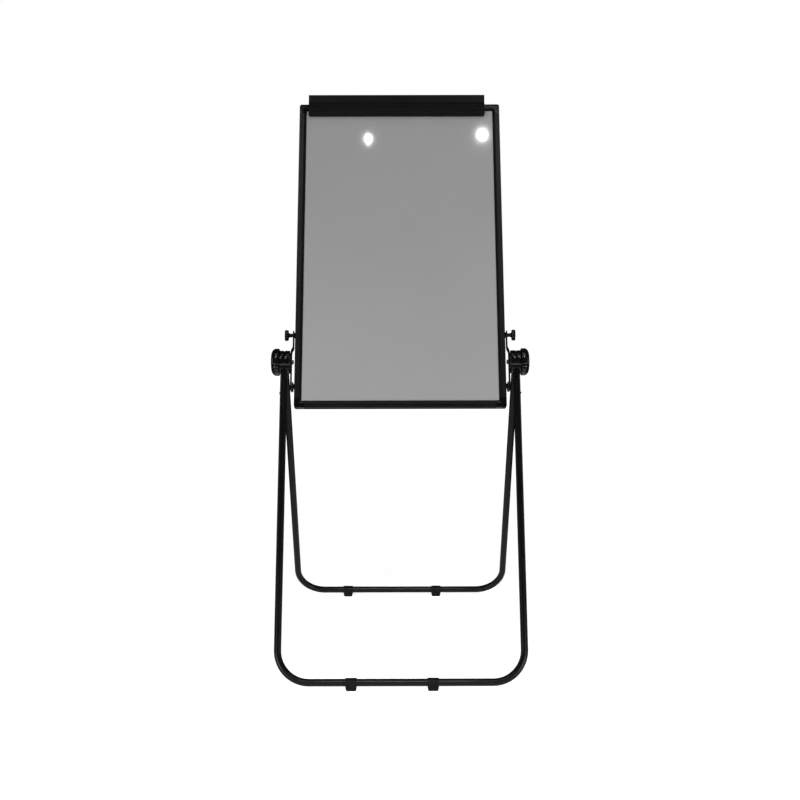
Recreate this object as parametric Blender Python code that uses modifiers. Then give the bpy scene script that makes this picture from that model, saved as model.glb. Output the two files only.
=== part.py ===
"""Flipchart easel: a framed whiteboard with a paper clip, carried on two U-shaped tube legs.

Metres, +Z up, the writing side faces -Y. The origin is on the floor, under the middle of the hub axis.
"""

import math

import bmesh
import bpy
from mathutils import Matrix, Vector

MM = 0.001

# Clearances
GAP = 0.3 * MM  # between pieces that seat on each other
HOLE_PLAY = 0.3 * MM  # added to a radius for a hole round a pin or tube
WELD = 0.00005

# Legs
TUBE_RADIUS = 10.0 * MM
TUBE_WALL = 1.2 * MM
BEND_RADIUS = 85.0 * MM
LEG_LENGTH = 891.0 * MM  # hub axis to the middle of the floor bar, along the leg
LEG_ANGLE = math.radians(25.0)  # from the vertical
FOLDED_TUBE_GAP = 3.5 * MM  # between the two legs when they lie together
FRONT_TUBE_SET_IN = 3.8 * MM  # outer face of the front hub's disc to the side of its tube
REAR_TUBE_SET_IN = 5.8 * MM  # inner face of the rear hub's disc to the side of its tube

# Feet
FOOT_SLEEVE = 2.5 * MM
FOOT_PAD_DROP = 10.5 * MM  # floor to the underside of the tube
FOOT_PAD_DEPTH = 21.0 * MM
FOOT_WIDTH = 30.0 * MM
FOOT_TAPER = 0.84  # width at the floor over width at the tube
FOOT_SLIT_FROM = math.radians(35.0)
FOOT_SLIT_TO = math.radians(70.0)
FRONT_FEET_X = (-132.5 * MM, 85.0 * MM)
REAR_FEET_X = (-169.5 * MM, 116.0 * MM)

# Hub stack, outwards along X from the side of the board
DISC_RADIUS = 33.0 * MM
DISC_EDGE = 2.0 * MM
INNER_DISC_THICK = 15.0 * MM
OUTER_DISC_THICK = 13.0 * MM
DISC_CLEAR = 1.2 * MM  # from a disc's rim to the other leg's arm
FRICTION_WASHER_RADIUS = 30.0 * MM
FRICTION_WASHER_THICK = 1.0 * MM
THRUST_WASHER_RADIUS = 20.0 * MM
THRUST_WASHER_THICK = 1.5 * MM
ARM_LENGTH = 60.0 * MM  # hub axis to the top end of the tube
SPIGOT_LENGTH = 50.0 * MM
SPIGOT_PLAY = 0.7 * MM  # to the tube's bore
LEG_SCREW_DROP = 35.0 * MM  # below the top end of the tube
LEG_SCREW_RADIUS = 2.0 * MM
LEG_SCREW_HEAD_RADIUS = 3.5 * MM
LEG_SCREW_HEAD = 2.0 * MM
LEG_SCREW_LENGTH = 14.0 * MM

# Clamp knob and its stud
STUD_RADIUS = 4.0 * MM
STUD_HEAD_RADIUS = 6.2 * MM
STUD_HEAD = 5.0 * MM
KNOB_RADIUS = 39.0 * MM
KNOB_THICK = 22.6 * MM
KNOB_EDGE = 1.5 * MM
KNOB_RIM = 9.1 * MM  # straight part of the rim, from the inner face
KNOB_FACE_RADIUS = 21.0 * MM  # flat outer face, inside the rounded shoulder
KNOB_FLUTES = 16
KNOB_FLUTE_DEPTH = 0.8 * MM
INSERT_RADIUS = 7.0 * MM
INSERT_LENGTH = 13.0 * MM
KNOB_CAP_RADIUS = 17.0 * MM
KNOB_CAP_THICK = 2.0 * MM

# Board
BOARD_WIDTH = 600.0 * MM
BOARD_HEIGHT = 945.0 * MM
BOARD_TILT = LEG_ANGLE  # the board hangs in line with the front leg
HUB_ABOVE_BOARD_FOOT = 136.4 * MM
FRAME_THICK = 20.0 * MM
FRAME_FACE = 21.0 * MM
FRAME_EDGE_RADIUS = 2.5 * MM
FRAME_BEVEL_START = 13.5 * MM  # from the outer edge
FRAME_LIP = 1.4 * MM  # thickness of the lip that holds the panel
FACE_GROOVE_AT = 7.0 * MM
FACE_GROOVE_WIDTH = 0.8 * MM
FACE_GROOVE_DEPTH = 0.5 * MM
PANEL_GROOVE_FLOOR = 13.0 * MM  # from the outer edge
SLOT_MOUTH = 10.0 * MM
SLOT_LIP = 2.0 * MM
SLOT_WIDTH = 15.6 * MM
SLOT_DEPTH = 7.6 * MM  # from the outer edge to the slot's floor
CORNER_LENGTH = 29.0 * MM
CORNER_RADIUS = 8.0 * MM
TENON_LENGTH = 12.0 * MM
CORE_THICK = 7.4 * MM
SHEET_THICK = 0.4 * MM

# Bracket that carries the board on each hub
STRAP_THICK = 3.0 * MM
STRAP_WIDTH = 26.0 * MM
STRAP_STAND_OFF = 9.9 * MM  # side of the board to the middle of the strap at the hub
STRAP_TOP = 92.0 * MM  # above the hub axis
STRAP_STEP_TOP = 41.0 * MM
STRAP_STEP_BOTTOM = 31.5 * MM
STRAP_BOTTOM = 84.0 * MM  # below the hub axis
STRAP_FOOT = 22.0 * MM  # length of the turned-up lower end
STRAP_BEND = 6.0 * MM
SHOE_LENGTH = 24.0 * MM
SHOE_PAD_LENGTH = 11.0 * MM
SHOE_PAD_WIDTH = 18.0 * MM
SHOE_PAD_THICK = 2.4 * MM
SHOE_PLAY = 0.4 * MM
LOCK_HEIGHT = 80.0 * MM  # lock knob above the hub axis
LOWER_SCREW_DROP = 72.0 * MM
LOCK_STUD_RADIUS = 2.5 * MM
LOCK_KNOB_RADIUS = 16.2 * MM
LOCK_KNOB_THICK = 10.3 * MM
LOCK_KNOB_EDGE = 2.0 * MM
LOCK_KNOB_FLUTES = 8
LOCK_KNOB_FLUTE_DEPTH = 1.0 * MM
LOCK_NECK_RADIUS = 5.5 * MM
LOCK_NECK_LENGTH = 12.8 * MM
LOCK_NECK_FLARE = 5.5 * MM  # hollow curve from the neck into the head and the foot
LOCK_STUD_IN_KNOB = 15.0 * MM
LOWER_SCREW_HEAD_RADIUS = 4.7 * MM
LOWER_SCREW_HEAD = 1.8 * MM

# Paper clip on the top rail
CLIP_INSET = 36.5 * MM  # each end of the clip from the side of the board, before the shift
CLIP_SHIFT = -8.6 * MM  # along X, from the middle of the board
CLIP_SHEET = 2.0 * MM
CLIP_BASE_DROP = 20.0 * MM
CLIP_FLANGE_REACH = 17.0 * MM  # flange over the top rail, back from the frame's face
BEAD_RADIUS = 3.2 * MM
BEAD_PROUD = 8.5 * MM  # bead's middle to the frame's face
BEAD_DROP = 9.0 * MM  # below the top of the frame
STALK_THICK = 2.4 * MM
SOCKET_WALL = 2.2 * MM
SOCKET_FROM = math.radians(-152.0)
SOCKET_TO = math.radians(122.0)
LEVER_RISE = 31.5 * MM  # above the bead
LEVER_LEAN = 5.8 * MM
JAW_DROP = 30.0 * MM  # below the bead
JAW_BULGE = 6.9 * MM
JAW_GROOVE = 4.0 * MM  # depth of the hollow between the socket and the jaw
PAD_STRIP = 3.0 * MM
PAD_END_MARGIN = 4.0 * MM
CLIP_SCREW_INSET = 43.5 * MM  # from the end of the clip
CLIP_SCREW_RADIUS = 2.0 * MM
CLIP_SCREW_HEAD_RADIUS = 4.0 * MM
CLIP_SCREW_HEAD = 2.2 * MM
CLIP_SCREW_LENGTH = 7.0 * MM
CLIP_NUT_SIDE = 10.0 * MM
CLIP_NUT_THICK = 3.0 * MM
SPRING_INSET = 113.5 * MM  # from the end of the clip
SPRING_WIDTH = 40.0 * MM
SPRING_THICK = 0.6 * MM

# Places worked out from the sizes above
LEG_SIDE_OFFSET = TUBE_RADIUS + FOLDED_TUBE_GAP / 2  # tube axis to hub axis
BAR_HEIGHT = TUBE_RADIUS + FOOT_PAD_DROP
HUB_HEIGHT = LEG_LENGTH * math.cos(LEG_ANGLE) - LEG_SIDE_OFFSET * math.sin(LEG_ANGLE) + BAR_HEIGHT
BAR_REACH = LEG_LENGTH * math.sin(LEG_ANGLE) + LEG_SIDE_OFFSET * math.cos(LEG_ANGLE)
BOARD_SIDE = BOARD_WIDTH / 2
BOARD_TOP = BOARD_HEIGHT / 2
FACE = FRAME_THICK / 2
SHEET_FACE = CORE_THICK / 2 + GAP + SHEET_THICK
PANEL_EDGE = PANEL_GROOVE_FLOOR + GAP  # from the outer edge of the frame
STRAP_MIDDLE = BOARD_SIDE + STRAP_STAND_OFF
STRAP_OUTER = STRAP_MIDDLE + STRAP_THICK / 2
STRAP_FOOT_MIDDLE = BOARD_SIDE + GAP + SHOE_PAD_THICK + GAP + STRAP_THICK / 2
STRAP_FOOT_OUTER = STRAP_FOOT_MIDDLE + STRAP_THICK / 2
THRUST_START = STRAP_OUTER + GAP
INNER_DISC_START = THRUST_START + THRUST_WASHER_THICK + GAP
INNER_DISC_END = INNER_DISC_START + INNER_DISC_THICK
FRICTION_START = INNER_DISC_END + GAP
OUTER_DISC_START = FRICTION_START + FRICTION_WASHER_THICK + GAP
OUTER_DISC_END = OUTER_DISC_START + OUTER_DISC_THICK
FRONT_HALF_WIDTH = OUTER_DISC_END - FRONT_TUBE_SET_IN - TUBE_RADIUS  # to the middle of the tube
REAR_HALF_WIDTH = INNER_DISC_START + REAR_TUBE_SET_IN + TUBE_RADIUS
KNOB_START = OUTER_DISC_END + GAP
KNOB_END = KNOB_START + KNOB_THICK
STUD_END = KNOB_START + INSERT_LENGTH
CLIP_LENGTH = BOARD_WIDTH - 2 * CLIP_INSET
CLIP_SCREW_X = CLIP_LENGTH / 2 - CLIP_SCREW_INSET
SPRING_X = CLIP_LENGTH / 2 - SPRING_INSET
BEAD = (FACE + BEAD_PROUD, -BEAD_DROP)  # outwards from the middle plane, up from the top edge

# Colour, roughness and metallic value of each finish
FINISH_VALUES = {
    "black_tube": ((0.012, 0.012, 0.013), 0.38, 0.0),
    "black_anodised": ((0.020, 0.020, 0.022), 0.42, 0.6),
    "black_plastic": ((0.014, 0.014, 0.015), 0.35, 0.0),
    "black_rubber": ((0.018, 0.018, 0.018), 0.75, 0.0),
    "whiteboard": ((0.62, 0.62, 0.63), 0.12, 0.0),
    "core_board": ((0.55, 0.45, 0.32), 0.90, 0.0),
    "zinc_steel": ((0.45, 0.46, 0.48), 0.35, 1.0),
    "brass": ((0.72, 0.52, 0.22), 0.35, 1.0),
    "spring_steel": ((0.30, 0.31, 0.33), 0.30, 1.0),
    "fibre": ((0.035, 0.032, 0.030), 0.80, 0.0),
}


def clear_scene():
    for obj in list(bpy.data.objects):
        bpy.data.objects.remove(obj)


def make_finishes():
    made = {}
    for name, (colour, roughness, metallic) in FINISH_VALUES.items():
        material = bpy.data.materials.new(name)
        material.use_nodes = True
        shader = material.node_tree.nodes["Principled BSDF"]
        shader.inputs["Base Color"].default_value = (*colour, 1.0)
        shader.inputs["Roughness"].default_value = roughness
        shader.inputs["Metallic"].default_value = metallic
        made[name] = material
    return made


def make_frame(name, parent, location, turn_x=0.0):
    """An empty that pieces are placed in."""
    frame = bpy.data.objects.new(name, None)
    PARTS.objects.link(frame)
    frame.parent = parent
    frame.location = location
    frame.rotation_euler = (turn_x, 0.0, 0.0)
    return frame


def add_piece(name, mesh, finish, frame):
    mesh.name = name
    mesh.materials.clear()
    mesh.materials.append(FINISHES[finish])
    mesh.shade_smooth()
    mesh.set_sharp_from_angle(angle=math.radians(35.0))
    obj = bpy.data.objects.new(name, mesh)
    PARTS.objects.link(obj)
    obj.parent = frame
    return obj


def add_pair(name, mesh, finish, frame):
    """The piece on the right, and its mirror image on the left."""
    add_piece(name + "_left", mirrored(mesh, "X"), finish, frame)
    add_piece(name + "_right", mesh, finish, frame)


def tidied(mesh, matrix=None):
    """The mesh moved by the matrix, with its doubles welded and its faces pointing out."""
    bm = bmesh.new()
    bm.from_mesh(mesh)
    if matrix is not None:
        bmesh.ops.transform(bm, matrix=matrix, verts=bm.verts)
    bmesh.ops.remove_doubles(bm, verts=bm.verts, dist=WELD)
    bmesh.ops.recalc_face_normals(bm, faces=bm.faces)
    bm.to_mesh(mesh)
    bm.free()
    return mesh


def baked(data, modify=None, matrix=None):
    """The mesh that a curve or mesh becomes once its modifiers have run."""
    helper = bpy.data.objects.new("helper", data)
    bpy.context.scene.collection.objects.link(helper)
    if modify is not None:
        modify(helper)
    graph = bpy.context.evaluated_depsgraph_get()
    mesh = bpy.data.meshes.new_from_object(helper.evaluated_get(graph))
    bpy.data.objects.remove(helper)
    return tidied(mesh, matrix)


def boolean(mesh, other, operation):
    """The mesh joined with, cut by or kept inside the other one."""
    tool = bpy.data.objects.new("tool", other)
    bpy.context.scene.collection.objects.link(tool)

    def modify(helper):
        step = helper.modifiers.new("cut", "BOOLEAN")
        step.operation = operation
        step.solver = "EXACT"
        step.object = tool

    result = baked(mesh, modify)
    bpy.data.objects.remove(tool)
    return result


def mirrored(mesh, axis):
    flip = Matrix.Scale(-1.0, 4, {"X": Vector((1, 0, 0)), "Z": Vector((0, 0, 1))}[axis])
    return tidied(mesh.copy(), flip)


def columns(along_x, along_y, along_z):
    """The matrix that turns the three axes to these directions."""
    return Matrix((along_x, along_y, along_z)).transposed().to_4x4()


ALONG_X = columns((0, -1, 0), (0, 0, 1), (-1, 0, 0))  # outline (outwards, up), pushed along X
ALONG_Z = columns((1, 0, 0), (0, 1, 0), (0, 0, 1))  # outline (X, Y), pushed along Z
ROUND_X = columns((0, 1, 0), (0, 0, 1), (1, 0, 0))  # outline (Y, Z), pushed along X


def prism(outline, length, axes, centre=(0, 0, 0), edge=0.0):
    """A flat outline pushed to a length, with its rims rounded by edge."""
    curve = bpy.data.curves.new("outline", "CURVE")
    curve.dimensions = "2D"
    curve.fill_mode = "BOTH"
    curve.extrude = length / 2 - edge
    curve.bevel_depth = edge
    curve.bevel_resolution = 1
    curve.offset = -edge
    spline = curve.splines.new("POLY")
    spline.points.add(len(outline) - 1)
    for point, (x, y) in zip(spline.points, outline):
        point.co = (x, y, 0.0, 1.0)
    spline.use_cyclic_u = True
    return baked(curve, matrix=Matrix.Translation(centre) @ axes)


def turned(profile, steps=32, centre=(0, 0, 0)):
    """A profile of (X, radius) points turned about the X axis."""
    mesh = bpy.data.meshes.new("profile")
    bm = bmesh.new()
    verts = [bm.verts.new((x, radius, 0.0)) for x, radius in profile]
    for first, second in zip(verts, verts[1:]):
        bm.edges.new((first, second))
    bm.to_mesh(mesh)
    bm.free()

    def modify(helper):
        step = helper.modifiers.new("turn", "SCREW")
        step.axis = "X"
        step.steps = steps
        step.render_steps = steps
        step.use_merge_vertices = True
        step.merge_threshold = WELD

    return baked(mesh, modify, Matrix.Translation(centre))


def rod_x(start, end, radius, y=0.0, z=0.0, steps=16):
    return turned([(start, 0.0), (start, radius), (end, radius), (end, 0.0)], steps, (0, y, z))


def ring_x(start, end, bore, radius):
    return turned([(start, bore), (start, radius), (end, radius), (end, bore), (start, bore)])


def rod_z(top, bottom, radius, x=0.0, y=0.0, steps=24):
    upright = Matrix.Translation((x, y, 0.0)) @ Matrix.Rotation(math.radians(90.0), 4, "Y")
    return tidied(rod_x(-top, -bottom, radius, steps=steps), upright)


def block(low, high):
    mesh = bpy.data.meshes.new("block")
    size = Vector(high) - Vector(low)
    bm = bmesh.new()
    bmesh.ops.create_cube(bm, size=1.0)
    bmesh.ops.scale(bm, vec=size, verts=bm.verts)
    bmesh.ops.translate(bm, vec=(Vector(low) + Vector(high)) / 2, verts=bm.verts)
    bm.to_mesh(mesh)
    bm.free()
    return mesh


def arc(centre, radius, start, end, count):
    """Points on an arc, from one angle to the other."""
    angles = [start + (end - start) * i / count for i in range(count + 1)]
    return [(centre[0] + radius * math.cos(a), centre[1] + radius * math.sin(a)) for a in angles]


def rounded_path(points, radii, count=6):
    """A path of straight runs with an arc of the given radius at each inner corner."""
    points = [Vector(p) for p in points]
    path = [points[0]]
    for before, corner, after, radius in zip(points, points[1:], points[2:], radii):
        back = (before - corner).normalized()
        ahead = (after - corner).normalized()
        half = back.angle(ahead) / 2
        middle = corner + (back + ahead).normalized() * radius / math.sin(half)
        start = corner + back * radius / math.tan(half) - middle
        end = corner + ahead * radius / math.tan(half) - middle
        for i in range(count + 1):
            path.append(middle + start.slerp(end, i / count) * radius)
    path.append(points[-1])
    return path


def ribbon(path, width, thickness):
    """A strip of sheet metal that follows a path of 3D points and is as wide as width along Y."""
    mesh = bpy.data.meshes.new("strip")
    bm = bmesh.new()
    verts = [bm.verts.new(p - Vector((0.0, width / 2, 0.0))) for p in path]
    edges = [bm.edges.new(pair) for pair in zip(verts, verts[1:])]
    swept = bmesh.ops.extrude_edge_only(bm, edges=edges)["geom"]
    moved = [v for v in swept if isinstance(v, bmesh.types.BMVert)]
    bmesh.ops.translate(bm, vec=(0.0, width, 0.0), verts=moved)
    bm.to_mesh(mesh)
    bm.free()

    def modify(helper):
        step = helper.modifiers.new("thickness", "SOLIDIFY")
        step.thickness = thickness
        step.offset = 0.0
        step.use_even_offset = True

    return baked(mesh, modify)


def fluted(radius, flutes, depth, points_per_flute=4):
    """A round outline with shallow waves for the fingers."""
    count = flutes * points_per_flute
    outline = []
    for i in range(count):
        angle = 2 * math.pi * i / count
        reach = radius - depth * (1 - math.cos(flutes * angle)) / 2
        outline.append((reach * math.cos(angle), reach * math.sin(angle)))
    return outline


def leg_tube(half_width, side):
    """A U of tube with open upper ends, hanging from the hub axis in its leg's frame."""
    y = side * LEG_SIDE_OFFSET
    top = -ARM_LENGTH - GAP
    corners = [(-half_width, y, top), (-half_width, y, -LEG_LENGTH)]
    corners += [(half_width, y, -LEG_LENGTH), (half_width, y, top)]
    path = rounded_path(corners, (BEND_RADIUS, BEND_RADIUS), count=8)
    curve = bpy.data.curves.new("leg", "CURVE")
    curve.dimensions = "3D"
    curve.bevel_depth = TUBE_RADIUS
    curve.bevel_resolution = 4
    spline = curve.splines.new("POLY")
    spline.points.add(len(path) - 1)
    for point, place in zip(spline.points, path):
        point.co = (*place, 1.0)

    def modify(helper):
        step = helper.modifiers.new("wall", "SOLIDIFY")
        step.thickness = TUBE_WALL
        step.offset = -1.0

    mesh = baked(baked(curve), modify)
    for x in (-half_width, half_width):
        mesh = boolean(mesh, screw_hole(x, y), "DIFFERENCE")
    return mesh


def screw_hole(x, y):
    """Cutter for the leg screw, from outside the tube to its middle."""
    outwards = math.copysign(1.0, x)
    ends = sorted((x + outwards * 2 * TUBE_RADIUS, x - outwards * LEG_SCREW_LENGTH))
    return rod_x(*ends, LEG_SCREW_RADIUS + HOLE_PLAY, y, -ARM_LENGTH - LEG_SCREW_DROP)


def leg_hub(half_width, side, disc_start, disc_end, scoop):
    """Right-hand hub of a leg: a disc on the hub axis with an arm that plugs into the tube."""
    y = side * LEG_SIDE_OFFSET
    profile = [
        (disc_start, STUD_RADIUS + HOLE_PLAY),
        (disc_start, DISC_RADIUS - DISC_EDGE),
        (disc_start + DISC_EDGE, DISC_RADIUS),
        (disc_end - DISC_EDGE, DISC_RADIUS),
        (disc_end, DISC_RADIUS - DISC_EDGE),
        (disc_end, STUD_RADIUS + HOLE_PLAY),
        (disc_start, STUD_RADIUS + HOLE_PLAY),
    ]
    spigot_radius = TUBE_RADIUS - TUBE_WALL - SPIGOT_PLAY
    arm = rod_z(-DISC_RADIUS / 3, -ARM_LENGTH, TUBE_RADIUS, half_width, y)
    spigot = rod_z(-ARM_LENGTH + TUBE_RADIUS, -ARM_LENGTH - SPIGOT_LENGTH, spigot_radius, half_width, y)
    arm = boolean(arm, spigot, "UNION")
    arm = boolean(arm, rod_x(*scoop, DISC_RADIUS + DISC_CLEAR, steps=32), "DIFFERENCE")
    arm = boolean(arm, rod_x(disc_start - DISC_EDGE, disc_end + DISC_EDGE, DISC_RADIUS / 2), "DIFFERENCE")
    mesh = boolean(turned(profile), arm, "UNION")
    return boolean(mesh, screw_hole(half_width, y), "DIFFERENCE")


def leg_screw(half_width, side):
    seat = half_width + TUBE_RADIUS + GAP
    profile = [
        (half_width + TUBE_RADIUS - LEG_SCREW_LENGTH, 0.0),
        (half_width + TUBE_RADIUS - LEG_SCREW_LENGTH, LEG_SCREW_RADIUS),
        (seat, LEG_SCREW_RADIUS),
        (seat, LEG_SCREW_HEAD_RADIUS),
        (seat + LEG_SCREW_HEAD / 2, LEG_SCREW_HEAD_RADIUS),
        (seat + LEG_SCREW_HEAD, LEG_SCREW_HEAD_RADIUS / 2),
        (seat + LEG_SCREW_HEAD, 0.0),
    ]
    return turned(profile, 16, (0, side * LEG_SIDE_OFFSET, -ARM_LENGTH - LEG_SCREW_DROP))


def foot():
    """A clip-on foot about the middle of its tube: a split sleeve over a tapered pad."""
    half_depth = FOOT_PAD_DEPTH / 2
    outer = TUBE_RADIUS + FOOT_SLEEVE
    bore = TUBE_RADIUS + HOLE_PLAY
    shoulder = math.acos(half_depth / outer)
    outline = arc((0, 0), outer, FOOT_SLIT_TO, math.pi + shoulder, 10)
    outline += [(-half_depth, -BAR_HEIGHT), (half_depth, -BAR_HEIGHT)]
    outline += arc((0, 0), outer, -shoulder, FOOT_SLIT_FROM, 4)
    outline += arc((0, 0), bore, FOOT_SLIT_FROM, FOOT_SLIT_TO - 2 * math.pi, 20)
    mesh = prism(outline, FOOT_WIDTH, ROUND_X)
    for vertex in mesh.vertices:
        if vertex.co.z < -outer:
            vertex.co.x *= FOOT_TAPER
    return mesh


def add_leg(name, frame, half_width, side, disc_ends, scoop, feet_x):
    """One U leg with its hubs, screws and feet. side is -1 for the front leg and 1 for the rear leg."""
    add_piece(name + "_tube", leg_tube(half_width, side), "black_tube", frame)
    add_pair(name + "_hub", leg_hub(half_width, side, *disc_ends, scoop), "black_plastic", frame)
    add_pair(name + "_screw", leg_screw(half_width, side), "zinc_steel", frame)
    for place, x in zip(("left", "right"), feet_x):
        piece = add_piece(f"{name}_foot_{place}", foot(), "black_rubber", frame)
        bar = Vector((x, side * LEG_SIDE_OFFSET, -LEG_LENGTH))
        piece.location = bar
        piece.rotation_euler = (-frame.rotation_euler.x, 0.0, 0.0)
        piece.scale = (1.0, -side, 1.0)


def add_hub_stack(frame):
    """Washers, stud and clamp knob on each hub, in the order in which they go on."""
    bore = STUD_RADIUS + HOLE_PLAY
    thrust = ring_x(THRUST_START, THRUST_START + THRUST_WASHER_THICK, bore, THRUST_WASHER_RADIUS)
    add_pair("thrust_washer", thrust, "zinc_steel", frame)
    friction_end = FRICTION_START + FRICTION_WASHER_THICK
    friction = ring_x(FRICTION_START, friction_end, bore, FRICTION_WASHER_RADIUS)
    add_pair("friction_washer", friction, "fibre", frame)

    head_end = STRAP_OUTER - STRAP_THICK - GAP
    stud = turned(
        [
            (head_end - STUD_HEAD, 0.0),
            (head_end - STUD_HEAD, STUD_HEAD_RADIUS),
            (head_end, STUD_HEAD_RADIUS),
            (head_end, STUD_RADIUS),
            (STUD_END, STUD_RADIUS),
            (STUD_END, 0.0),
        ],
        24,
    )
    add_pair("pivot_stud", stud, "zinc_steel", frame)
    insert = ring_x(KNOB_START, KNOB_START + INSERT_LENGTH, bore, INSERT_RADIUS)
    add_pair("knob_insert", insert, "brass", frame)

    outline = fluted(KNOB_RADIUS, KNOB_FLUTES, KNOB_FLUTE_DEPTH)
    middle = (KNOB_START + KNOB_THICK / 2, 0, 0)
    knob = prism(outline, KNOB_THICK, ROUND_X, middle, KNOB_EDGE)
    shoulder = arc((0, 0), 1.0, math.pi / 2, 0.0, 6)
    reach = KNOB_RADIUS - KNOB_FACE_RADIUS
    dome = [(KNOB_START - KNOB_EDGE, 0.0), (KNOB_START - KNOB_EDGE, KNOB_RADIUS + KNOB_EDGE)]
    for along, out in shoulder:
        dome.append((KNOB_START + KNOB_RIM + along * (KNOB_THICK - KNOB_RIM), KNOB_FACE_RADIUS + out * reach))
    dome += [(KNOB_END + KNOB_EDGE, KNOB_FACE_RADIUS), (KNOB_END + KNOB_EDGE, 0.0)]
    knob = boolean(knob, turned(dome, 64), "INTERSECT")
    pocket_end = KNOB_START + INSERT_LENGTH + GAP
    pocket = rod_x(KNOB_START - KNOB_EDGE, pocket_end, INSERT_RADIUS + HOLE_PLAY, steps=32)
    recess_start = KNOB_END - KNOB_CAP_THICK
    recess = rod_x(recess_start, KNOB_END + KNOB_EDGE, KNOB_CAP_RADIUS + HOLE_PLAY, steps=32)
    knob = boolean(boolean(knob, pocket, "DIFFERENCE"), recess, "DIFFERENCE")
    add_pair("clamp_knob", knob, "black_plastic", frame)
    cap = rod_x(recess_start + GAP, KNOB_END, KNOB_CAP_RADIUS, steps=32)
    add_pair("knob_cap", cap, "black_plastic", frame)


def strap():
    """Right-hand bracket: a strip that stands off the frame at the hub and bears on it at both ends."""
    turn = (STRAP_MIDDLE - STRAP_FOOT_MIDDLE) / 2
    corners = [
        (STRAP_FOOT_MIDDLE, 0, STRAP_TOP),
        (STRAP_FOOT_MIDDLE, 0, STRAP_STEP_TOP),
        (STRAP_MIDDLE, 0, STRAP_STEP_BOTTOM),
        (STRAP_MIDDLE, 0, -STRAP_BOTTOM),
        (STRAP_FOOT_MIDDLE, 0, -STRAP_BOTTOM),
        (STRAP_FOOT_MIDDLE, 0, -STRAP_BOTTOM + STRAP_FOOT),
    ]
    tight = turn * 0.999  # the two lower bends meet in a half circle
    path = rounded_path(corners, (STRAP_BEND, STRAP_BEND, tight, tight), count=4)
    mesh = ribbon(path, STRAP_WIDTH, STRAP_THICK)
    through = (BOARD_SIDE, STRAP_OUTER + STRAP_THICK)
    holes = [
        rod_x(*through, STUD_RADIUS + HOLE_PLAY),
        rod_x(*through, LOCK_STUD_RADIUS + HOLE_PLAY, z=LOCK_HEIGHT),
        rod_x(BOARD_SIDE, STRAP_FOOT_OUTER + GAP, LOCK_STUD_RADIUS + HOLE_PLAY, z=-LOWER_SCREW_DROP),
        rod_x(STRAP_FOOT_OUTER + GAP, through[1], LOWER_SCREW_HEAD_RADIUS + HOLE_PLAY, z=-LOWER_SCREW_DROP),
    ]
    for hole in holes:
        mesh = boolean(mesh, hole, "DIFFERENCE")
    return mesh


def shoe(height):
    """A glide that runs in the slot of the frame, with a short pad between the frame and the strap."""
    pad_start = BOARD_SIDE + GAP
    pad_end = pad_start + SHOE_PAD_THICK
    lip_end = BOARD_SIDE - SLOT_LIP - SHOE_PLAY
    floor = BOARD_SIDE - SLOT_DEPTH + SHOE_PLAY
    half_neck = SLOT_MOUTH / 2 - SHOE_PLAY
    half_body = SLOT_WIDTH / 2 - SHOE_PLAY
    half_pad = SHOE_PAD_WIDTH / 2
    half = [(floor, half_body), (lip_end, half_body), (lip_end, half_neck)]
    half += [(pad_start, half_neck), (pad_start, half_pad), (pad_end, half_pad)]
    outline = half + [(x, -y) for x, y in reversed(half)]
    mesh = prism(outline, SHOE_LENGTH, ALONG_Z, (0, 0, height))
    half_cut = half_pad + SHOE_PLAY
    for end in (-1, 1):
        low, high = sorted((height + end * SHOE_PAD_LENGTH / 2, height + end * SHOE_LENGTH))
        cut = block((pad_start - GAP / 3, -half_cut, low), (pad_end + SHOE_PLAY, half_cut, high))
        mesh = boolean(mesh, cut, "DIFFERENCE")
    bore = rod_x(floor - SHOE_PLAY, pad_end + SHOE_PLAY, LOCK_STUD_RADIUS + HOLE_PLAY, z=height)
    return boolean(mesh, bore, "DIFFERENCE")


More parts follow.
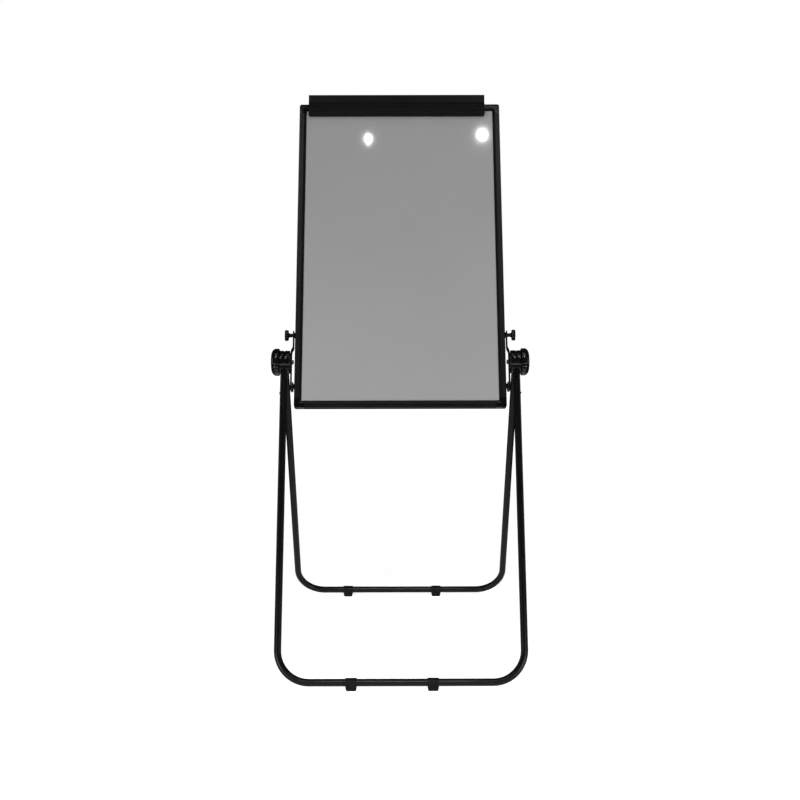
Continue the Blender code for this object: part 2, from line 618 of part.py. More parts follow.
def add_brackets(frame):
    add_pair("side_bracket", strap(), "black_tube", frame)
    add_pair("upper_glide", shoe(LOCK_HEIGHT), "black_plastic", frame)
    add_pair("lower_glide", shoe(-LOWER_SCREW_DROP), "black_plastic", frame)
    tip = BOARD_SIDE - SLOT_DEPTH + 2 * SHOE_PLAY
    seat = STRAP_FOOT_OUTER + GAP
    screw = turned(
        [
            (tip, 0.0),
            (tip, LOCK_STUD_RADIUS),
            (seat, LOCK_STUD_RADIUS),
            (seat, LOWER_SCREW_HEAD_RADIUS),
            (seat + LOWER_SCREW_HEAD, LOWER_SCREW_HEAD_RADIUS * 0.7),
            (seat + LOWER_SCREW_HEAD, 0.0),
        ],
        16,
        (0, 0, -LOWER_SCREW_DROP),
    )
    add_pair("glide_screw", screw, "zinc_steel", frame)

    stud_end = seat + LOCK_STUD_IN_KNOB
    stud = rod_x(tip, stud_end, LOCK_STUD_RADIUS, z=LOCK_HEIGHT)
    add_pair("lock_stud", stud, "zinc_steel", frame)
    head_start = seat + LOCK_NECK_LENGTH
    outline = fluted(LOCK_KNOB_RADIUS, LOCK_KNOB_FLUTES, LOCK_KNOB_FLUTE_DEPTH)
    middle = (head_start + LOCK_KNOB_THICK / 2, 0, LOCK_HEIGHT)
    head = prism(outline, LOCK_KNOB_THICK, ROUND_X, middle, LOCK_KNOB_EDGE)
    neck_end = head_start + LOCK_KNOB_THICK / 2
    flare = LOCK_NECK_FLARE
    profile = [(seat, 0.0), (seat, LOCK_NECK_RADIUS)]
    profile += arc((head_start - flare, LOCK_NECK_RADIUS + flare), flare, -math.pi / 2, 0.0, 4)
    profile += [(neck_end, LOCK_NECK_RADIUS + flare), (neck_end, 0.0)]
    neck = turned(profile, 24, (0, 0, LOCK_HEIGHT))
    bore = rod_x(seat - GAP, stud_end + GAP, LOCK_STUD_RADIUS + HOLE_PLAY, z=LOCK_HEIGHT)
    knob = boolean(boolean(head, neck, "UNION"), bore, "DIFFERENCE")
    add_pair("lock_knob", knob, "black_plastic", frame)


def face_profile():
    """Half of a frame section, from its outer edge to the lip: (inwards, outwards from the middle plane)."""
    lip = SHEET_FACE + GAP + FRAME_LIP
    corner = (FRAME_EDGE_RADIUS, FACE - FRAME_EDGE_RADIUS)
    half = arc(corner, FRAME_EDGE_RADIUS, math.pi, math.pi / 2, 3)
    half.append((FACE_GROOVE_AT, FACE))
    half.append((FACE_GROOVE_AT + FACE_GROOVE_WIDTH / 2, FACE - FACE_GROOVE_DEPTH))
    half.append((FACE_GROOVE_AT + FACE_GROOVE_WIDTH, FACE))
    half += [(FRAME_BEVEL_START, FACE), (FRAME_FACE, lip), (FRAME_FACE, lip - FRAME_LIP)]
    half.append((PANEL_GROOVE_FLOOR, lip - FRAME_LIP))
    return half


def both_faces(half):
    return half + [(inwards, -out) for inwards, out in reversed(half)]


def rail_section():
    """Frame extrusion with a panel groove inside and a T-slot along its outer edge."""
    slot = [(SLOT_DEPTH, SLOT_WIDTH / 2), (SLOT_LIP, SLOT_WIDTH / 2)]
    slot += [(SLOT_LIP, SLOT_MOUTH / 2), (0.0, SLOT_MOUTH / 2)]
    return both_faces(slot + face_profile())


def corner_cap():
    """Bottom right corner: the face profile taken round a mitre, rounded outside, with two tenons."""
    bm = bmesh.new()
    floor = -BOARD_TOP
    ring = [
        bm.verts.new((BOARD_SIDE - inwards, -out, floor + CORNER_LENGTH))
        for inwards, out in both_faces(face_profile())
    ]
    faces = [bm.faces.new(ring)]

    def extruded():
        made = bmesh.ops.extrude_face_region(bm, geom=faces)["geom"]
        bmesh.ops.delete(bm, geom=faces[1:], context="FACES_ONLY")
        faces[:] = faces[:1]
        faces.append(next(g for g in made if isinstance(g, bmesh.types.BMFace)))
        return faces[-1].verts

    for vertex in extruded():
        vertex.co.z = floor + (BOARD_SIDE - vertex.co.x)
    faces[:] = faces[1:]
    mitre = faces[0]
    made = bmesh.ops.extrude_face_region(bm, geom=[mitre])["geom"]
    for vertex in (g for g in made if isinstance(g, bmesh.types.BMVert)):
        vertex.co.x = BOARD_SIDE - CORNER_LENGTH
    bmesh.ops.delete(bm, geom=[mitre], context="FACES_ONLY")
    mesh = bpy.data.meshes.new("corner")
    bm.to_mesh(mesh)
    bm.free()
    mesh = tidied(mesh)

    sides = [(BOARD_SIDE, -BOARD_TOP), (BOARD_SIDE, BOARD_TOP)]
    sides += [(-BOARD_SIDE, BOARD_TOP), (-BOARD_SIDE, -BOARD_TOP)]
    outline = []
    for i, (x, z) in enumerate(sides):
        middle = (x - math.copysign(CORNER_RADIUS, x), z - math.copysign(CORNER_RADIUS, z))
        start = math.radians(90.0 * (i - 1))
        outline += arc(middle, CORNER_RADIUS, start, start + math.pi / 2, 6)
    upright = columns((1, 0, 0), (0, 0, 1), (0, -1, 0))
    mesh = boolean(mesh, prism(outline, 2 * FRAME_THICK, upright), "INTERSECT")

    near = SLOT_LIP + GAP
    far = SLOT_DEPTH - GAP
    half = SLOT_WIDTH / 2 - GAP
    root = CORNER_LENGTH - SLOT_LIP
    tip = CORNER_LENGTH + TENON_LENGTH
    up = block((BOARD_SIDE - far, -half, floor + root), (BOARD_SIDE - near, half, floor + tip))
    across = block((BOARD_SIDE - tip, -half, floor + near), (BOARD_SIDE - root, half, floor + far))
    return boolean(boolean(mesh, up, "UNION"), across, "UNION")


def add_board(frame):
    """Frame of four rails and four corners round a panel of two steel sheets on a core."""
    section = rail_section()
    ends = 2 * (CORNER_LENGTH + GAP)
    stile = prism([(BOARD_SIDE - d, -w) for d, w in section], BOARD_HEIGHT - ends, ALONG_Z)
    add_pair("side_rail", stile, "black_anodised", frame)
    top = prism([(w, BOARD_TOP - d) for d, w in section], BOARD_WIDTH - ends, ALONG_X)
    add_piece("top_rail", top, "black_anodised", frame)
    add_piece("bottom_rail", mirrored(top, "Z"), "black_anodised", frame)
    corner = corner_cap()
    add_pair("top_corner", mirrored(corner, "Z"), "black_plastic", frame)
    add_pair("bottom_corner", corner, "black_plastic", frame)

    half_x = BOARD_SIDE - PANEL_EDGE
    half_z = BOARD_TOP - PANEL_EDGE
    half_core = CORE_THICK / 2
    core = block((-half_x, -half_core, -half_z), (half_x, half_core, half_z))
    add_piece("board_core", core, "core_board", frame)
    back = half_core + GAP
    front_sheet = block((-half_x, -SHEET_FACE, -half_z), (half_x, -back, half_z))
    add_piece("front_sheet", front_sheet, "whiteboard", frame)
    rear_sheet = block((-half_x, back, -half_z), (half_x, SHEET_FACE, half_z))
    add_piece("rear_sheet", rear_sheet, "whiteboard", frame)


def clip_base_outline():
    """Section of the fixed half: a plate on the rail with a flange over its top and a hinge bead."""
    plate = FACE + GAP
    front = plate + CLIP_SHEET
    half_stalk = STALK_THICK / 2
    reach = math.pi - math.asin(half_stalk / BEAD_RADIUS)
    outline = [(plate, -CLIP_BASE_DROP), (front, -CLIP_BASE_DROP), (front, BEAD[1] - half_stalk)]
    outline += arc(BEAD, BEAD_RADIUS, -reach, reach, 16)
    outline += [(front, BEAD[1] + half_stalk), (front, GAP + CLIP_SHEET)]
    outline += [(FACE - CLIP_FLANGE_REACH, GAP + CLIP_SHEET), (FACE - CLIP_FLANGE_REACH, GAP), (plate, GAP)]
    return outline


def clip_jaw_outline():
    """Section of the moving half: a lever above a socket that turns on the bead, and a jaw below it."""
    bore = BEAD_RADIUS + HOLE_PLAY
    outer = bore + SOCKET_WALL
    lip = BEAD[0] - (SHEET_FACE + GAP + PAD_STRIP + GAP)  # from the bead back to the end of the jaw
    sheet = CLIP_SHEET
    outline = arc((0, 0), bore, SOCKET_TO, SOCKET_FROM, 18)
    outline += arc((0, 0), outer, SOCKET_FROM, math.radians(-115.0), 3)
    wall = 1.2 * sheet
    drop = JAW_DROP
    groove = JAW_BULGE - JAW_GROOVE
    run = JAW_BULGE - groove
    front = [(0.0, 0.285), (0.10, 0.40), (0.30, 0.53), (0.60, 0.67), (0.94, 0.80), (1.0, 0.86)]
    outline += [(groove + out * run - wall, -down * drop) for out, down in front[:-1]]
    outline += [(groove - wall / 2, -0.88 * drop), (-0.3 * lip, -drop + PAD_STRIP), (-lip, -drop + PAD_STRIP)]
    outline += [(-lip, -drop), (-0.25 * lip, -drop), (groove + wall / 2, -0.96 * drop)]
    outline += [(groove + out * run, -down * drop) for out, down in reversed(front)]
    outline += arc((0, 0), outer, math.radians(-62.0), math.radians(38.0), 7)
    ridge = outer + sheet
    outline += [(outer - sheet / 8, outer), (outer, ridge), (outer - sheet / 3, ridge + sheet / 2)]
    outline += [(LEVER_LEAN + 0.8 * sheet, LEVER_RISE - sheet / 2), (LEVER_LEAN + sheet / 2, LEVER_RISE)]
    outline += [(LEVER_LEAN, LEVER_RISE - sheet / 4), (outer - 1.45 * sheet, outer + 1.25 * sheet)]
    outline += arc((0, 0), outer, math.radians(80.0), SOCKET_TO, 3)
    return [(BEAD[0] + x, BEAD[1] + z) for x, z in outline]


def clip_spring(x):
    """Leaf spring from the base's flange up to the back of the lever."""
    foot_up = GAP + CLIP_SHEET + GAP + SPRING_THICK / 2
    lever_at = 0.78  # share of the way up the lever where the spring bears
    up = BEAD[1] + LEVER_RISE * lever_at
    out = BEAD[0] + LEVER_LEAN * lever_at - CLIP_SHEET / 2 - SPRING_THICK
    corners = [
        (x, FACE - CLIP_FLANGE_REACH + CLIP_SHEET, foot_up),
        (x, FACE, foot_up),
        (x, out, up),
    ]
    turn = Matrix.Rotation(math.radians(90.0), 4, "Z")
    local = [Vector((y, 0.0, z)) for _, y, z in corners]
    strip = ribbon(rounded_path(local, (STRAP_BEND,), count=6), SPRING_WIDTH, SPRING_THICK)
    return tidied(strip, Matrix.Translation((x, 0, 0)) @ turn.inverted())


def add_clip(frame):
    """Paper clip in a frame whose origin is on the top edge of the board, at the middle of the clip."""
    base = prism(clip_base_outline(), CLIP_LENGTH, ALONG_X)
    for x in (-CLIP_SCREW_X, CLIP_SCREW_X):
        hole = rod_z(CLIP_SCREW_LENGTH, -CLIP_SCREW_LENGTH, CLIP_SCREW_RADIUS + HOLE_PLAY, x)
        base = boolean(base, hole, "DIFFERENCE")
    add_piece("clip_base", base, "black_anodised", frame)
    add_piece("clip_jaw", prism(clip_jaw_outline(), CLIP_LENGTH, ALONG_X), "black_anodised", frame)

    pad_face = SHEET_FACE + GAP
    pad_drop = BEAD_DROP + JAW_DROP
    half = CLIP_LENGTH / 2 - PAD_END_MARGIN
    pad = block((-half, -pad_face - PAD_STRIP, -pad_drop), (half, -pad_face, -pad_drop + PAD_STRIP))
    add_piece("clip_grip_strip", pad, "black_rubber", frame)

    for place, x in (("left", -1.0), ("right", 1.0)):
        add_piece("clip_spring_" + place, clip_spring(x * SPRING_X), "spring_steel", frame)
        seat = GAP + CLIP_SHEET + GAP
        shank = rod_z(seat + CLIP_SCREW_HEAD / 2, seat - CLIP_SCREW_LENGTH - SLOT_LIP, CLIP_SCREW_RADIUS)
        head = rod_z(seat + CLIP_SCREW_HEAD, seat, CLIP_SCREW_HEAD_RADIUS)
        screw = tidied(boolean(head, shank, "UNION"), Matrix.Translation((x * CLIP_SCREW_X, 0, 0)))
        add_piece("clip_screw_" + place, screw, "zinc_steel", frame)
        nut_top = -SLOT_LIP - GAP
        half_nut = CLIP_NUT_SIDE / 2
        nut = block((-half_nut, -half_nut, nut_top - CLIP_NUT_THICK), (half_nut, half_nut, nut_top))
        bore = rod_z(CLIP_NUT_THICK, -SLOT_DEPTH - CLIP_NUT_THICK, CLIP_SCREW_RADIUS + HOLE_PLAY)
        nut = tidied(boolean(nut, bore, "DIFFERENCE"), Matrix.Translation((x * CLIP_SCREW_X, 0, 0)))
        add_piece("clip_nut_" + place, nut, "zinc_steel", frame)


def build():
    hub_axis = make_frame("hub_axis", None, (0.0, 0.0, HUB_HEIGHT))
    front_leg = make_frame("front_leg_frame", hub_axis, (0, 0, 0), -LEG_ANGLE)
    rear_leg = make_frame("rear_leg_frame", hub_axis, (0, 0, 0), LEG_ANGLE)
    tilt = make_frame("tilt_frame", hub_axis, (0, 0, 0), -BOARD_TILT)
    board = make_frame("board_frame", tilt, (0, 0, BOARD_TOP - HUB_ABOVE_BOARD_FOOT))
    clip = make_frame("clip_frame", board, (CLIP_SHIFT, 0, BOARD_TOP))

    outer_disc = (OUTER_DISC_START, OUTER_DISC_END)
    inner_disc = (INNER_DISC_START, INNER_DISC_END)
    inner_side = (BOARD_SIDE, OUTER_DISC_START)
    outer_side = (INNER_DISC_END, KNOB_END)
    add_leg("front_leg", front_leg, FRONT_HALF_WIDTH, -1, outer_disc, inner_side, FRONT_FEET_X)
    add_leg("rear_leg", rear_leg, REAR_HALF_WIDTH, 1, inner_disc, outer_side, REAR_FEET_X)
    add_hub_stack(tilt)
    add_brackets(tilt)
    add_board(board)
    add_clip(clip)


clear_scene()
PARTS = bpy.data.collections.new("flipchart_easel")
bpy.context.scene.collection.children.link(PARTS)
FINISHES = make_finishes()
build()
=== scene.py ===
import math

import bmesh
import bpy
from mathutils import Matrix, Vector


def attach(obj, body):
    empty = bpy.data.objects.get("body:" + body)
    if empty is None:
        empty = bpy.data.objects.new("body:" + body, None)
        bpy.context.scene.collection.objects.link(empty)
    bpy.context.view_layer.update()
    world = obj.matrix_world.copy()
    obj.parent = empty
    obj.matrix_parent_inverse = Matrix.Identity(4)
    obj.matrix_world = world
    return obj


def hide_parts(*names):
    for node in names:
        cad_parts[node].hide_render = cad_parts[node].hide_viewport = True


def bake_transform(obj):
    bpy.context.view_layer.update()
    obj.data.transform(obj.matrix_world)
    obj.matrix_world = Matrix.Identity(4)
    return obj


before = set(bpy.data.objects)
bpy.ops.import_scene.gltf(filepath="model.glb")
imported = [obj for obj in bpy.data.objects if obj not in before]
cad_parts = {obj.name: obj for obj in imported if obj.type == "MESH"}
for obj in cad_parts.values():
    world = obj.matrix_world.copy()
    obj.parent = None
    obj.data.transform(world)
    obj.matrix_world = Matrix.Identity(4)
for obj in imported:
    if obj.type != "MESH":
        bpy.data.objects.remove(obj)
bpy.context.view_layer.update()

mm = 0.001
nearAxis = 0.9  # a direction counts as along an axis above this share
fineMerge = 0.002  # mm, for pieces whose corners lie close together

# lengths in mm, angles in degrees; places are measured from the hub axis
easel = {
    "tubeRadius": 10.0,
    "legLength": 891.0,  # hub axis to the floor bar
    "legLean": 25.0,
    "legSideOffset": 11.75,
    "barHeight": 20.5,
    "boardLean": 25.0,
    "boardTop": 808.6,  # above the hub axis, along the board
    "boardFoot": -136.4,
    "boardHalf": 300.0,
}
legLean = math.radians(easel["legLean"])
boardLean = math.radians(easel["boardLean"])
hubHeight = (
    easel["legLength"] * math.cos(legLean)
    - easel["legSideOffset"] * math.sin(legLean)
    + easel["barHeight"]
) * mm
barReach = (
    easel["legLength"] * math.sin(legLean) + easel["legSideOffset"] * math.cos(legLean)
) * mm
boardMiddle = (easel["boardTop"] + easel["boardFoot"]) / 2


# modelling helpers

def leaveAll():
    active = bpy.context.view_layer.objects.active
    if active is not None and active.mode != "OBJECT":
        bpy.ops.object.mode_set(mode="OBJECT")
    bpy.ops.object.select_all(action="DESELECT")


def takeUp(piece):
    leaveAll()
    piece.select_set(True)
    bpy.context.view_layer.objects.active = piece


def editPiece(piece):
    takeUp(piece)
    bpy.ops.object.mode_set(mode="EDIT")
    bpy.ops.mesh.select_mode(type="VERT")
    bpy.ops.mesh.select_all(action="SELECT")


def newPiece(name):
    piece = bpy.context.object
    piece.name = name
    bpy.ops.object.transform_apply(location=True, rotation=True, scale=True)
    editPiece(piece)
    return piece


def pick(kind, test):
    # marks the corners, edges or faces whose middle and direction pass the test
    bpy.ops.mesh.select_mode(type=kind)
    bpy.ops.mesh.select_all(action="DESELECT")
    mesh = bpy.context.object.data
    work = bmesh.from_edit_mesh(mesh)
    work.normal_update()
    if kind == "FACE":
        for face in work.faces:
            if test(face.calc_center_median() / mm, face.normal):
                face.select_set(True)
    elif kind == "EDGE":
        for edge in work.edges:
            start, end = edge.verts[0].co, edge.verts[1].co
            if test((start + end) / 2 / mm, (end - start).normalized()):
                edge.select_set(True)
    else:
        for corner in work.verts:
            if test(corner.co / mm, corner.normal):
                corner.select_set(True)
    work.select_flush_mode()
    bmesh.update_edit_mesh(mesh)


def pushOut(x, y, z):
    bpy.ops.mesh.extrude_region_move(TRANSFORM_OT_translate={"value": (x * mm, y * mm, z * mm)})


def drawLine(name, points):
    # a small plane is merged to one corner and drawn out point by point
    leaveAll()
    first = [value * mm for value in points[0]]
    bpy.ops.mesh.primitive_plane_add(size=mm, location=first)
    piece = newPiece(name)
    bpy.ops.mesh.merge(type="CENTER")
    for before, after in zip(points, points[1:]):
        pushOut(*(b - a for a, b in zip(before, after)))
    bpy.ops.mesh.select_all(action="SELECT")
    return piece


def drawSlab(name, points, push):
    piece = drawLine(name, points)
    bpy.ops.mesh.edge_face_add()
    pushOut(*push)
    turnOutwards()
    return piece


def turnOutwards(merge=0.004):
    bpy.ops.mesh.select_all(action="SELECT")
    bpy.ops.mesh.remove_doubles(threshold=merge * mm)
    bpy.ops.mesh.normals_make_consistent(inside=False)


def turnOnLathe(name, profile, steps, centre=(0, 0)):
    # profile of (along X, radius), turned about X through centre (Y, Z)
    piece = drawLine(name, [(x, centre[0], centre[1] + radius) for x, radius in profile])
    middle = (0, centre[0] * mm, centre[1] * mm)
    bpy.ops.mesh.spin(steps=steps, angle=2 * math.pi, center=middle, axis=(1, 0, 0))
    turnOutwards()
    return piece


def arcPoints(centre, radius, start, end, count):
    turns = [math.radians(start + (end - start) * i / count) for i in range(count + 1)]
    return [(centre[0] + radius * math.cos(a), centre[1] + radius * math.sin(a)) for a in turns]


cornerLimits = {"flat": 86.0, "sideShare": 0.45, "leastBow": 1e-6}


def roundCorners(points, radius, count):
    # every corner of a line between its ends gets a small arc, smaller where the sides are short
    limit = cornerLimits
    radii = radius if isinstance(radius, (list, tuple)) else [radius] * len(points)
    made = []
    for i, corner in enumerate(points):
        if i in (0, len(points) - 1):
            made.append(tuple(corner))
            continue
        here = Vector(corner)
        back = Vector(points[i - 1]) - here
        ahead = Vector(points[i + 1]) - here
        half = back.angle(ahead) / 2
        if half > math.radians(limit["flat"]) or radii[i] <= 0:
            made.append(tuple(corner))
            continue
        most = limit["sideShare"]
        reach = min(radii[i] / math.tan(half), most * back.length, most * ahead.length)
        start, end = here + back.normalized() * reach, here + ahead.normalized() * reach
        bow = reach * math.tan(half)
        inwards = (back.normalized() + ahead.normalized()).normalized()
        middle = here + inwards * bow / math.sin(half)
        for k in range(count + 1):
            spoke = start - middle
            if bow > limit["leastBow"]:
                spoke = spoke.slerp(end - middle, k / count)
            made.append(tuple(middle + spoke.normalized() * bow))
    return made


def addStep(piece, kind, **values):
    takeUp(piece)
    bpy.ops.object.modifier_add(type=kind)
    step = piece.modifiers[-1]
    for key, value in values.items():
        setattr(step, key, value)
    bpy.ops.object.modifier_apply(modifier=step.name)


def combine(piece, tool, operation):
    leaveAll()
    addStep(piece, "BOOLEAN", operation=operation, solver="EXACT", object=tool)
    bpy.data.objects.remove(tool)


def rodTool(start, end, radius, z=0.0, sides=48):
    # a round bar along X, used to join or cut
    leaveAll()
    bpy.ops.mesh.primitive_cylinder_add(
        vertices=sides, radius=radius * mm, depth=abs(end - start) * mm,
        location=((start + end) / 2 * mm, 0, z * mm), rotation=(0, math.pi / 2, 0),
    )
    tool = newPiece("tool")
    leaveAll()
    return tool


def blockTool(low, high):
    leaveAll()
    size = [(b - a) * mm for a, b in zip(low, high)]
    middle = [(a + b) / 2 * mm for a, b in zip(low, high)]
    bpy.ops.mesh.primitive_cube_add(size=1, location=middle, scale=size)
    tool = newPiece("tool")
    leaveAll()
    return tool


def copyPiece(piece, name):
    takeUp(piece)
    bpy.ops.object.duplicate()
    twin = bpy.context.object
    twin.name = name
    return twin


def flipCopy(piece, name, axis=0):
    twin = copyPiece(piece, name)
    twin.scale[axis] = -1
    bpy.ops.object.transform_apply(location=True, rotation=True, scale=True)
    editPiece(twin)
    bpy.ops.mesh.normals_make_consistent(inside=False)
    leaveAll()
    return twin


def shiftPiece(piece, x=0.0, y=0.0, z=0.0):
    takeUp(piece)
    piece.location = (x * mm, y * mm, z * mm)
    bpy.ops.object.transform_apply(location=True, rotation=True, scale=True)


def hangOnHub(piece, lean):
    # from the hub's own upright frame to its place over the floor
    takeUp(piece)
    piece.rotation_euler = (lean, 0, 0)
    piece.location = (0, 0, hubHeight)
    bpy.ops.object.transform_apply(location=True, rotation=True, scale=True)


# edges steeper than this stay sharp
sharpAngle = {"plain": 35, "tube": 40, "rubber": 30, "knob": 32, "profile": 28}


def dressPiece(piece, finish, sharp):
    takeUp(piece)
    bpy.ops.object.shade_smooth_by_angle(angle=math.radians(sharpAngle[sharp]))
    piece.data.materials.clear()
    piece.data.materials.append(finish)


def finishPiece(piece, finish, body, nodes, sharp="plain"):
    dressPiece(piece, finish, sharp)
    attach(piece, body)
    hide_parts(*nodes)
    leaveAll()


def finishPair(piece, name, finish, body, node, lean, sharp="plain"):
    # the right-hand piece and its mirror image, both hung on the hub
    left = flipCopy(piece, name + "Left")
    piece.name = name + "Right"
    for side, half in (("left", left), ("right", piece)):
        hangOnHub(half, lean)
        rider = body.format(side=side)
        finishPiece(half, finish, rider, [f"{node}_{side}"], sharp)


# finishes

def linkNodes(tree, start, startName, end, endName):
    tree.links.new(start.outputs[startName], end.inputs[endName])


# what a finish has unless it says otherwise
finishBase = {"metal": 0.0, "gloss": 0.5, "lean": 0.0, "stretch": (1, 1, 1), "driftDetail": 4.0,
              "tintFrom": 0.36, "tintTo": 0.64, "grainDetail": 3.0, "grainRoughness": 0.55,
              "grainShare": 0.4, "dullFrom": 0.3, "dullTo": 0.7}


def makeFinish(name, look):
    # two colours that drift into each other, a roughness that drifts with them, and a fine relief
    look = {**finishBase, **look}
    finish = bpy.data.materials.new(name)
    finish.use_nodes = True
    tree = finish.node_tree
    shader = tree.nodes["Principled BSDF"]
    shader.inputs["Metallic"].default_value = look["metal"]
    shader.inputs["Specular IOR Level"].default_value = look["gloss"]
    coords = tree.nodes.new("ShaderNodeTexCoord")
    place = tree.nodes.new("ShaderNodeMapping")
    place.inputs["Rotation"].default_value = (look["lean"], 0, 0)
    linkNodes(tree, coords, "Object", place, "Vector")

    drift = tree.nodes.new("ShaderNodeTexNoise")
    drift.inputs["Scale"].default_value = look["driftScale"]
    drift.inputs["Detail"].default_value = look["driftDetail"]
    linkNodes(tree, place, "Vector", drift, "Vector")
    tint = tree.nodes.new("ShaderNodeValToRGB")
    tint.color_ramp.elements[0].position = look["tintFrom"]
    tint.color_ramp.elements[0].color = (*look["dark"], 1)
    tint.color_ramp.elements[1].position = look["tintTo"]
    tint.color_ramp.elements[1].color = (*look["light"], 1)
    linkNodes(tree, drift, "Fac", tint, "Fac")
    linkNodes(tree, tint, "Color", shader, "Base Color")

    # grain is stretched along the run of the metal where there is one
    stretch = tree.nodes.new("ShaderNodeMapping")
    stretch.inputs["Scale"].default_value = look["stretch"]
    linkNodes(tree, place, "Vector", stretch, "Vector")
    grain = tree.nodes.new("ShaderNodeTexNoise")
    grain.inputs["Scale"].default_value = look["grainScale"]
    grain.inputs["Detail"].default_value = look["grainDetail"]
    grain.inputs["Roughness"].default_value = look["grainRoughness"]
    linkNodes(tree, stretch, "Vector", grain, "Vector")

    blend = tree.nodes.new("ShaderNodeMix")
    blend.data_type = "FLOAT"
    blend.inputs["Factor"].default_value = look["grainShare"]
    linkNodes(tree, drift, "Fac", blend, "A")
    linkNodes(tree, grain, "Fac", blend, "B")
    dull = tree.nodes.new("ShaderNodeMapRange")
    dull.inputs["From Min"].default_value = look["dullFrom"]
    dull.inputs["From Max"].default_value = look["dullTo"]
    dull.inputs["To Min"].default_value = look["rough"][0]
    dull.inputs["To Max"].default_value = look["rough"][1]
    linkNodes(tree, blend, "Result", dull, "Value")
    linkNodes(tree, dull, "Result", shader, "Roughness")

    relief = tree.nodes.new("ShaderNodeBump")
    relief.inputs["Strength"].default_value = look["relief"]
    relief.inputs["Distance"].default_value = look["reliefDepth"] * mm
    linkNodes(tree, grain, "Fac", relief, "Height")
    linkNodes(tree, relief, "Normal", shader, "Normal")
    return finish


finishes = {
    # semi-matt stove coat on the legs and brackets, with a slight orange peel
    "coat": {"dark": (0.0026, 0.0026, 0.0027), "light": (0.0040, 0.0040, 0.0041), "driftScale": 14,
             "rough": (0.28, 0.36), "gloss": 0.16, "grainScale": 620, "relief": 0.35, "reliefDepth": 0.05},
    # anodised profile, drawn along X
    "profileAcross": {"dark": (0.0042, 0.0042, 0.0044), "light": (0.0062, 0.0062, 0.0064), "driftScale": 10,
                      "rough": (0.30, 0.40), "gloss": 0.22, "grainScale": 900, "stretch": (0.012, 1, 1),
                      "relief": 0.25, "reliefDepth": 0.02},
    # the same profile, drawn up the board
    "profileUp": {"dark": (0.0042, 0.0042, 0.0044), "light": (0.0062, 0.0062, 0.0064), "driftScale": 10,
                  "rough": (0.30, 0.40), "gloss": 0.22, "grainScale": 900, "stretch": (1, 1, 0.012),
                  "lean": boardLean, "relief": 0.25, "reliefDepth": 0.02},
    # the clip's own profile, matt
    "clipProfile": {"dark": (0.0028, 0.0028, 0.0030), "light": (0.0042, 0.0042, 0.0044), "driftScale": 10,
                    "rough": (0.34, 0.44), "gloss": 0.10, "grainScale": 900, "stretch": (0.012, 1, 1),
                    "relief": 0.25, "reliefDepth": 0.02},
    # moulded nylon with a fine spark texture
    "moulded": {"dark": (0.0028, 0.0028, 0.0030), "light": (0.0048, 0.0048, 0.0050), "driftScale": 22,
                "rough": (0.10, 0.14), "gloss": 0.28, "grainScale": 1500,
                "relief": 0.2, "reliefDepth": 0.03},
    "rubber": {"dark": (0.0026, 0.0026, 0.0026), "light": (0.0050, 0.0049, 0.0048), "driftScale": 30,
               "rough": (0.55, 0.72), "gloss": 0.12, "grainScale": 1100,
               "relief": 0.5, "reliefDepth": 0.08},
    # enamelled steel that has been written on and wiped
    "enamel": {"dark": (0.388, 0.387, 0.391), "light": (0.404, 0.403, 0.407), "driftScale": 2.4,
               "rough": (0.048, 0.060), "gloss": 0.5, "grainScale": 34, "grainDetail": 2.0,
               "stretch": (0.25, 1, 1), "lean": boardLean, "relief": 0.02, "reliefDepth": 0.05},
    "zinc": {"dark": (0.42, 0.43, 0.45), "light": (0.54, 0.55, 0.56), "driftScale": 160, "metal": 1.0,
             "rough": (0.26, 0.40), "grainScale": 1800, "relief": 0.2, "reliefDepth": 0.02},
    "brass": {"dark": (0.62, 0.43, 0.17), "light": (0.74, 0.54, 0.25), "driftScale": 120, "metal": 1.0,
              "rough": (0.24, 0.38), "grainScale": 1600, "relief": 0.2, "reliefDepth": 0.02},
    # phosphated steel
    "darkSteel": {"dark": (0.075, 0.076, 0.080), "light": (0.12, 0.12, 0.125), "driftScale": 150,
                  "metal": 1.0, "rough": (0.36, 0.50), "grainScale": 1700,
                  "relief": 0.25, "reliefDepth": 0.02},
    "spring": {"dark": (0.20, 0.20, 0.21), "light": (0.31, 0.31, 0.32), "driftScale": 60, "metal": 1.0,
               "rough": (0.24, 0.36), "grainScale": 1400, "stretch": (0.03, 1, 1), "relief": 0.2,
               "reliefDepth": 0.02},
    "fibre": {"dark": (0.022, 0.020, 0.019), "light": (0.044, 0.041, 0.039), "driftScale": 180,
              "rough": (0.70, 0.90), "gloss": 0.3, "grainScale": 2200, "relief": 0.5, "reliefDepth": 0.08},
    "honeycomb": {"dark": (0.42, 0.33, 0.22), "light": (0.58, 0.47, 0.33), "driftScale": 90,
                  "rough": (0.82, 0.95), "gloss": 0.2, "grainScale": 700,
                  "relief": 0.6, "reliefDepth": 0.1},
}
made = {name: makeFinish(name, look) for name, look in finishes.items()}
print("easel: finishes", ", ".join(made))


# U legs

legTube = {"wall": 1.2, "bend": 85.0, "top": -60.3, "half": 329.3, "sides": 40, "bendSteps": 20}
legs = (("front_leg", -1), ("rear_leg", 1))  # with the side of the hub that each stands on


